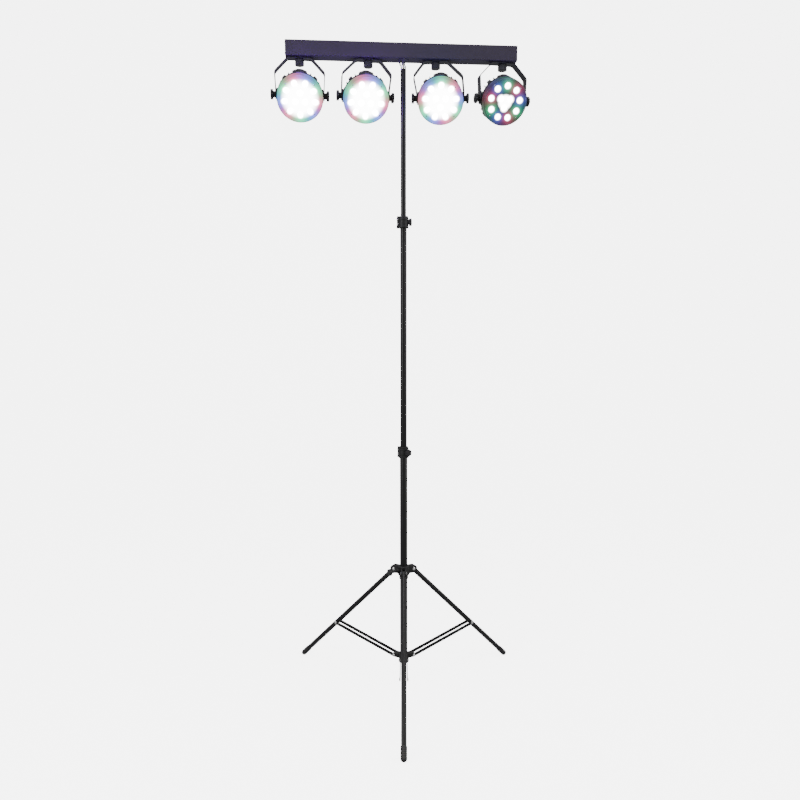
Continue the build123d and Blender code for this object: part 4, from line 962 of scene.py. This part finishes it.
slots = [rectangle(60, 3.5, 1.7, (0, (step - 2) * 9)) for step in range(5)]
for number in range(1, 5):
    wall = eased([
        (56, BACK_Z), (BODY_R - 8, BACK_Z + 16), (BODY_R, SPLIT_Z - 14), (BODY_R, SPLIT_Z),
        (BODY_R - 2.5, SPLIT_Z), (BODY_R - 2.5, SPLIT_Z - 13), (BODY_R - 10.5, BACK_Z + 18),
        (54, BACK_Z + 2.5),
    ], 1.5, 3)
    mesh = turned(wall, 128, closed=True)
    joined(mesh, pressed([circle(56.5, 128), *slots], BACK_Z, BACK_Z + 2.5, 0.5))
    for side in (-1, 1):
        lug = pressed([rectangle(38, 26, 5)], LUG_FACE - 20, LUG_FACE, 1.2, 3)
        lug_seat = turned(eased([(3.2, 0), (8, 0), (8, 0.2), (3.2, 0.2)], 0.05), 32, closed=True)
        joined(lug, lug_seat, Matrix.Translation((0, 0, LUG_FACE - 0.1)))
        joined(mesh, lug, facing((0, 0, 0), (side, 0, 0)))
    for angle in (45, 135, 225, 315):
        turn = radians(angle)
        rib = pressed([rectangle(36, 14, 3, (-2, 0))], BODY_R - 12, BODY_R, 1.0, 3)
        radial = Vector((cos(turn), sin(turn), 0))
        joined(mesh, rib, basis(Vector((0, 0, 0)), Vector((0, 0, 1)), radial.cross(Vector((0, 0, 1))),
            radial))
    ridge = [(26, BODY_R - 12), (24, BODY_R - 4), (6, BODY_R + 2.5), (-6, BODY_R + 2.5), (-24, BODY_R - 4)]
    joined(mesh, pressed([eased(ridge + [(-26, BODY_R - 12)], 3.0)], SPLIT_Z - 36, SPLIT_Z, 1.2, 3))
    # cooling fins ring the taper of the shell
    for angle in range(0, 360, 15):
        if min(abs(angle - spot) for spot in (0, 45, 90, 135, 180, 225, 270, 315, 360)) < 10:
            continue
        turn = radians(angle)
        radial = Vector((cos(turn), sin(turn), 0))
        fin = pressed([rectangle(26, 2.6, 1.0, (-8, 0))], BODY_R - 14, BODY_R - 1.5, 0.5)
        joined(mesh, fin, basis(Vector((0, 0, 0)), Vector((0, 0, 1)), radial.cross(Vector((0, 0, 1))),
            radial))
    finish_piece(
        mesh, f"head_{number}_shell", shell_plastic, f"head_{number}",
        [f"rear_housing_{number}"], head_frames[number])
    gland = pressed([[(9 * cos(a), 9 * sin(a)) for a in (step * pi / 3 for step in range(6))]], 0, 4, 0.6)
    joined(gland, turned(eased([
        (3, 0), (7, 4), (7, 7.5), (6.2, 8), (6.2, 9), (6.8, 9.5), (5.5, 12), (3, 12)], 0.4), 32, closed=True))
    gland.transform(facing((0, -34, BACK_Z), (0, 0, -1), (0, 1, 0)))
    finish_piece(
        gland, f"head_{number}_gland", socket_plastic, f"head_{number}",
        place=head_frames[number])


# ---- LED boards: a heat-sink disc with a white board and twelve emitters ------------------
# The outer nine are three each of green, red and blue; the inner three are white.
# led_glow paints the heads' lamp light as emission: on the lenses it stands for the lamp itself, and on the
# black face plate it is a painted glow of colour and white around each lens
glow_group, g_in, g_out = effect(
    "led_glow",
    [("Phase", "Float", 0.0), ("Reach", "Float", 0.012), ("Bloom", "Float", 0.0), ("Flood", "Float", 0.0)],
    [("Spill", "Color"), ("Core", "Float")],
)
place = node(glow_group, "ShaderNodeTexCoord")
split = node(glow_group, "ShaderNodeSeparateXYZ")
glow_group.links.new(place.outputs["Object"], split.inputs[0])
x, y = split.outputs["X"], split.outputs["Y"]
squared = calculate(glow_group, "MULTIPLY_ADD", x, x, calculate(glow_group, "MULTIPLY", y, y))
radius = calculate(glow_group, "SQRT", squared)
bearing = calculate(glow_group, "SUBTRACT", calculate(glow_group, "ARCTAN2", y, x), g_in.outputs["Phase"])
RING_R = 0.052
INNER_R = 0.019
LENS_R = 0.010


def nearest(spread, start, ring_radius):
    """Distance squared to the nearest lens of those spaced by an angle round a ring."""
    turns = calculate(glow_group, "DIVIDE", calculate(glow_group, "SUBTRACT", bearing, start), spread)
    part = calculate(glow_group, "SUBTRACT", turns, calculate(glow_group, "ROUND", turns))
    toward = calculate(glow_group, "COSINE", calculate(glow_group, "MULTIPLY", part, spread))
    cross = calculate(glow_group, "MULTIPLY", calculate(glow_group, "MULTIPLY", radius, toward),
        -2 * ring_radius)
    return calculate(glow_group, "ADD", calculate(glow_group, "ADD", squared, ring_radius ** 2), cross)


def falloff(distance_squared, scale=1.0):
    ratio = calculate(glow_group, "DIVIDE", distance_squared, calculate(
        glow_group, "MULTIPLY",
        calculate(glow_group, "MULTIPLY", g_in.outputs["Reach"], g_in.outputs["Reach"]), scale))
    return calculate(glow_group, "POWER", calculate(glow_group, "ADD", ratio, 1.0), -1.6)


red = falloff(nearest(2 * pi / 3, radians(50), RING_R))
green = falloff(nearest(2 * pi / 3, radians(90), RING_R))
blue = falloff(nearest(2 * pi / 3, radians(10), RING_R))
mixed = node(glow_group, "ShaderNodeCombineColor")
# the lamps overlap, so each colour carries some of its neighbours: pink, teal and violet
pink = calculate(glow_group, "MULTIPLY_ADD", blue, 0.10, red)
teal = calculate(glow_group, "MULTIPLY_ADD", red, 0.10,
    calculate(glow_group, "MULTIPLY_ADD", blue, 0.15, green))
violet = calculate(glow_group, "MULTIPLY_ADD", green, 0.35,
    calculate(glow_group, "MULTIPLY_ADD", red, 0.25, blue))
for channel, value in (("Red", pink), ("Green", teal), ("Blue", violet)):
    glow_group.links.new(value, mixed.inputs[channel])
glow_group.links.new(mixed.outputs[0], g_out.inputs["Spill"])


def step_down(value, full, none):
    """1 below one value and 0 above another, with a smooth change between."""
    change = node(glow_group, "ShaderNodeMapRange", interpolation_type="SMOOTHSTEP")
    for socket, source in (("Value", value), ("From Min", none), ("From Max", full)):
        if isinstance(source, float):
            change.inputs[socket].default_value = source
        else:
            glow_group.links.new(source, change.inputs[socket])
    return change.outputs["Result"]


# the core is white inside each lens, over the three inner lenses, and as far as the flood
outer = calculate(glow_group, "SQRT", nearest(2 * pi / 9, radians(90), RING_R))
inner = calculate(glow_group, "SQRT", nearest(2 * pi / 3, radians(30), INNER_R))
edge = calculate(glow_group, "ADD", g_in.outputs["Bloom"], LENS_R)
in_outer = step_down(outer, 0.6 * LENS_R, edge)
wide = calculate(glow_group, "MULTIPLY_ADD", g_in.outputs["Bloom"], 2.5, LENS_R)
in_inner = step_down(inner, 0.6 * LENS_R, wide)
flooded = step_down(radius, calculate(glow_group, "MULTIPLY", g_in.outputs["Flood"], 0.6), calculate(
    glow_group, "ADD", g_in.outputs["Flood"], 0.0001))
core = calculate(glow_group, "MAXIMUM", calculate(glow_group, "MAXIMUM", in_outer, in_inner), flooded)
glow_group.links.new(core, g_out.inputs["Core"])

# how each head's painted lamp glow washes over it: colour strength, its reach, and how far the white spreads
WASH = {1: (6.5, 0.016, 0.005, 0.067), 2: (6.5, 0.016, 0.005, 0.067), 3: (6.0, 0.016, 0.005, 0.064),
        4: (2.8, 0.0105, 0.0025, 0.027)}


def glowing(material, number, gain=1.0, white=14.0):
    """Paint a skin with its head's lamp light as emission: white near each lens, and colour further out."""
    strength, reach, bloom, flood = WASH[number]
    tree = material.node_tree
    skin = tree.nodes["Principled BSDF"]
    glow = use(tree, glow_group, Phase=radians(PHASE[number]), Reach=reach, Bloom=bloom, Flood=flood)
    hue = node(tree, "ShaderNodeVectorMath", operation="SCALE")
    tree.links.new(glow.outputs["Spill"], hue.inputs[0])
    hue.inputs["Scale"].default_value = strength * gain
    lit = node(tree, "ShaderNodeMix", data_type="RGBA")
    lit.inputs["B"].default_value = (white, white, white, 1)
    tree.links.new(glow.outputs["Core"], lit.inputs["Factor"])
    tree.links.new(hue.outputs[0], lit.inputs["A"])
    tree.links.new(lit.outputs["Result"], skin.inputs["Emission Color"])
    skin.inputs["Emission Strength"].default_value = 1.0


solder_mask = wear("circuit_board", coat(
    "white_solder_mask", (0.62, 0.63, 0.62), (0.70, 0.71, 0.70), 0.35, 0.05, 900, 0.0))
places = [(52 * cos(radians(90 + step * 40)), 52 * sin(radians(90 + step * 40))) for step in range(9)]
places += [(19 * cos(radians(30 + step * 120)), 19 * sin(radians(30 + step * 120))) for step in range(3)]
for number in range(1, 5):
    spin = Matrix.Rotation(radians(PHASE[number]), 4, "Z")
    mesh = turned(eased([(0, 19), (BODY_R - 8, 19), (BODY_R - 8, 22), (0, 22)], 0.4, closed=False), 96)
    joined(mesh, pressed([circle(BODY_R - 9, 96)], 22, 23.6, 0.2))
    for x, y in places:
        joined(mesh, pressed([rectangle(5, 5, 0.6, (x, y))], 23.6, 25.0, 0.2))
        dome = [(2.1, 25.0), (1.9, 25.6), (1.2, 26.0), (0, 26.1)]
        joined(mesh, turned(dome, 16), Matrix.Translation((x, y, 0)))
    mesh.transform(spin)
    finish_piece(
        mesh, f"head_{number}_board", solder_mask, f"head_{number}", [f"led_board_{number}"],
        head_frames[number])


# ---- Front covers: a moulded rim and face plate, held by four screws ----------------------
# Twelve holes with raised collars take the lenses; the rim stands proud of the plate.
wear("face_plastic", coat(
    "face_plastic", (0.007, 0.007, 0.008), (0.012, 0.012, 0.013), 0.34, 0.15, 1800, 0.08))
screw_turns = [radians(45 + step * 90) for step in range(4)]
for number in range(1, 5):
    spin = Matrix.Rotation(radians(PHASE[number]), 4, "Z")
    rim = eased([
        (BODY_R - 2.5, SPLIT_Z + 0.15), (BODY_R, SPLIT_Z + 0.15), (BODY_R, SPLIT_Z + 3),
        (BODY_R - 0.6, SPLIT_Z + 4),
        (BODY_R - 0.6, SPLIT_Z + 6), (BODY_R, SPLIT_Z + 7), (BODY_R, FACE_Z - 2), (BODY_R - 2, FACE_Z),
        (BODY_R - 5, FACE_Z), (BODY_R - 7, PLATE_FRONT), (BODY_R - 7, PLATE_Z), (BODY_R - 2.5, PLATE_Z),
    ], 1.0, 3)
    mesh = turned(rim, 144, closed=True)
    plate = pressed([circle(BODY_R - 6.6, 144), *[circle(10.5, 40, spot) for spot in places]], PLATE_Z,
        PLATE_FRONT, 0.3)
    for x, y in places:
        collar = turned(eased([
            (10.5, PLATE_FRONT - 0.4), (12.6, PLATE_FRONT - 0.1), (12.2, PLATE_FRONT + 0.9),
            (10.9, PLATE_FRONT + 1.2),
            (10.5, PLATE_FRONT + 0.8)], 0.3, 2), 40, closed=True)
        joined(plate, collar, Matrix.Translation((x, y, 0)))
    plate.transform(spin)
    joined(mesh, plate)
    for turn in screw_turns:
        seat = turned(eased([(3.0, 0), (4.3, 0), (4.1, 0.6), (3.2, 0.6)], 0.15), 24, closed=True)
        joined(mesh, seat, Matrix.Translation((66.5 * cos(turn), 66.5 * sin(turn), PLATE_FRONT)))
    # the face plate's black plastic carries painted light: its head's lamp glow as emission, white over the
    # middle and colour towards the rim
    flood = coat(f"face_plastic_{number}", (0.007, 0.007, 0.008), (0.012, 0.012, 0.013), 0.34, 0.15, 1800,
        0.08)
    glowing(flood, number)
    finish_piece(
        mesh, f"head_{number}_face", flood, f"head_{number}", [f"front_cover_{number}"],
        head_frames[number])
    cover_screws = [
        ((66.5 * cos(turn), 66.5 * sin(turn), PLATE_FRONT + 0.1), (0, 0, 1)) for turn in screw_turns
    ]
    screw_heads(
        f"head_{number}_face_screws", cover_screws, 2.6, f"head_{number}",
        place=head_frames[number])


# ---- Lenses: clear acrylic collimators with domed fronts, lit from behind -----------------
# The lamp burns white in the middle of each and keeps its colour at the rim.
wear("lens_clear", coat(
    "lens_acrylic", (0.80, 0.82, 0.85), (0.85, 0.87, 0.90), 0.08, 0.01, 900, 0.0, spread=0.04, specular=0.5))
for number in range(1, 5):
    mesh = bmesh.new()
    for x, y in places:
        dome = [(0, PLATE_Z - 5), (7.5, PLATE_Z - 5), (9.9, PLATE_Z)]
        dome += [(10 * cos(a),
            PLATE_FRONT - 2.2 + 2.6 * sin(a)) for a in (step * pi / 20 for step in range(11))]
        dome[-1] = (0, PLATE_FRONT + 0.4)
        joined(mesh, turned(dome, 40), Matrix.Translation((x, y, 0)))
    mesh.transform(Matrix.Rotation(radians(PHASE[number]), 4, "Z"))
    lit = coat(
        f"lens_lit_{number}", (0.80, 0.82, 0.85), (0.85, 0.87, 0.90), 0.08, 0.01, 900, 0.0, spread=0.04,
        specular=0.5)
    glowing(lit, number, 2.0, 20.0)
    finish_piece(
        mesh, f"head_{number}_lenses", lit, f"head_{number}", [f"lenses_{number}"],
        head_frames[number], sharp=60)


# ---- Side knobs: fluted grips on the screws that set the tilt -----------------------------
# A plain hub stands off the yoke's arm; the head has eight flutes and a dished cap.
for number in range(1, 5):
    for side, name in ((-1, "left"), (1, "right")):
        centre, out = joint_axis(f"side_knob_{name}_{number}_turn")
        axis = facing(centre * MM, out)
        hub = 79.5 + STRAP_THICK + 0.3
        mesh = pressed([lobed(16.5, 8, 1.9, 128)], hub + 7, hub + 15.6, 1.4, 3)
        collar = eased([(3.1, hub), (10, hub), (10, hub + 5), (12.5, hub + 7.4)], 0.8, 3, closed=False)
        joined(mesh, turned(collar, 40))
        top = hub + 15.6
        cap = [(11, top - 0.5), (11, top + 0.2), (10.4, top + 0.4), (9.4, top + 0.3), (5, top - 0.8),
            (0, top - 1.0)]
        joined(mesh, turned(cap, 40))
        finish_piece(
            mesh, f"side_knob_{name}_{number}_grip", knob_plastic, f"side_knob_{name}_{number}",
            [f"side_knob_{name}_{number}"], axis)
        finish_piece(
            threaded(3.0, LUG_FACE - 12, hub + 1), f"side_knob_{name}_{number}_screw", zinc,
            f"side_knob_{name}_{number}", place=axis, sharp=50)


# ---- Stray light: what each head throws on the bar, its knob and the mast -----------------
# A small unseen lamp above each head's brow rides with the head, as its LEDs' light would.
STRAY = {1: ((0.36, 0.14, 1.0), 1.5), 2: ((0.36, 0.14, 1.0), 1.5), 3: ((0.22, 0.32, 1.0), 0.6),
         4: ((0.40, 0.25, 1.0), 0.25)}
for number, (colour, power) in STRAY.items():
    light = bpy.data.lights.new(f"stray_light_{number}", "POINT")
    light.energy = power
    light.color = colour
    light.shadow_soft_size = 0.03
    lamp = bpy.data.objects.new(f"stray_light_{number}", light)
    bpy.context.scene.collection.objects.link(lamp)
    lamp.matrix_world = head_frames[number] @ Matrix.Translation((0, 0.085, 0.06))
    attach(lamp, f"head_{number}")
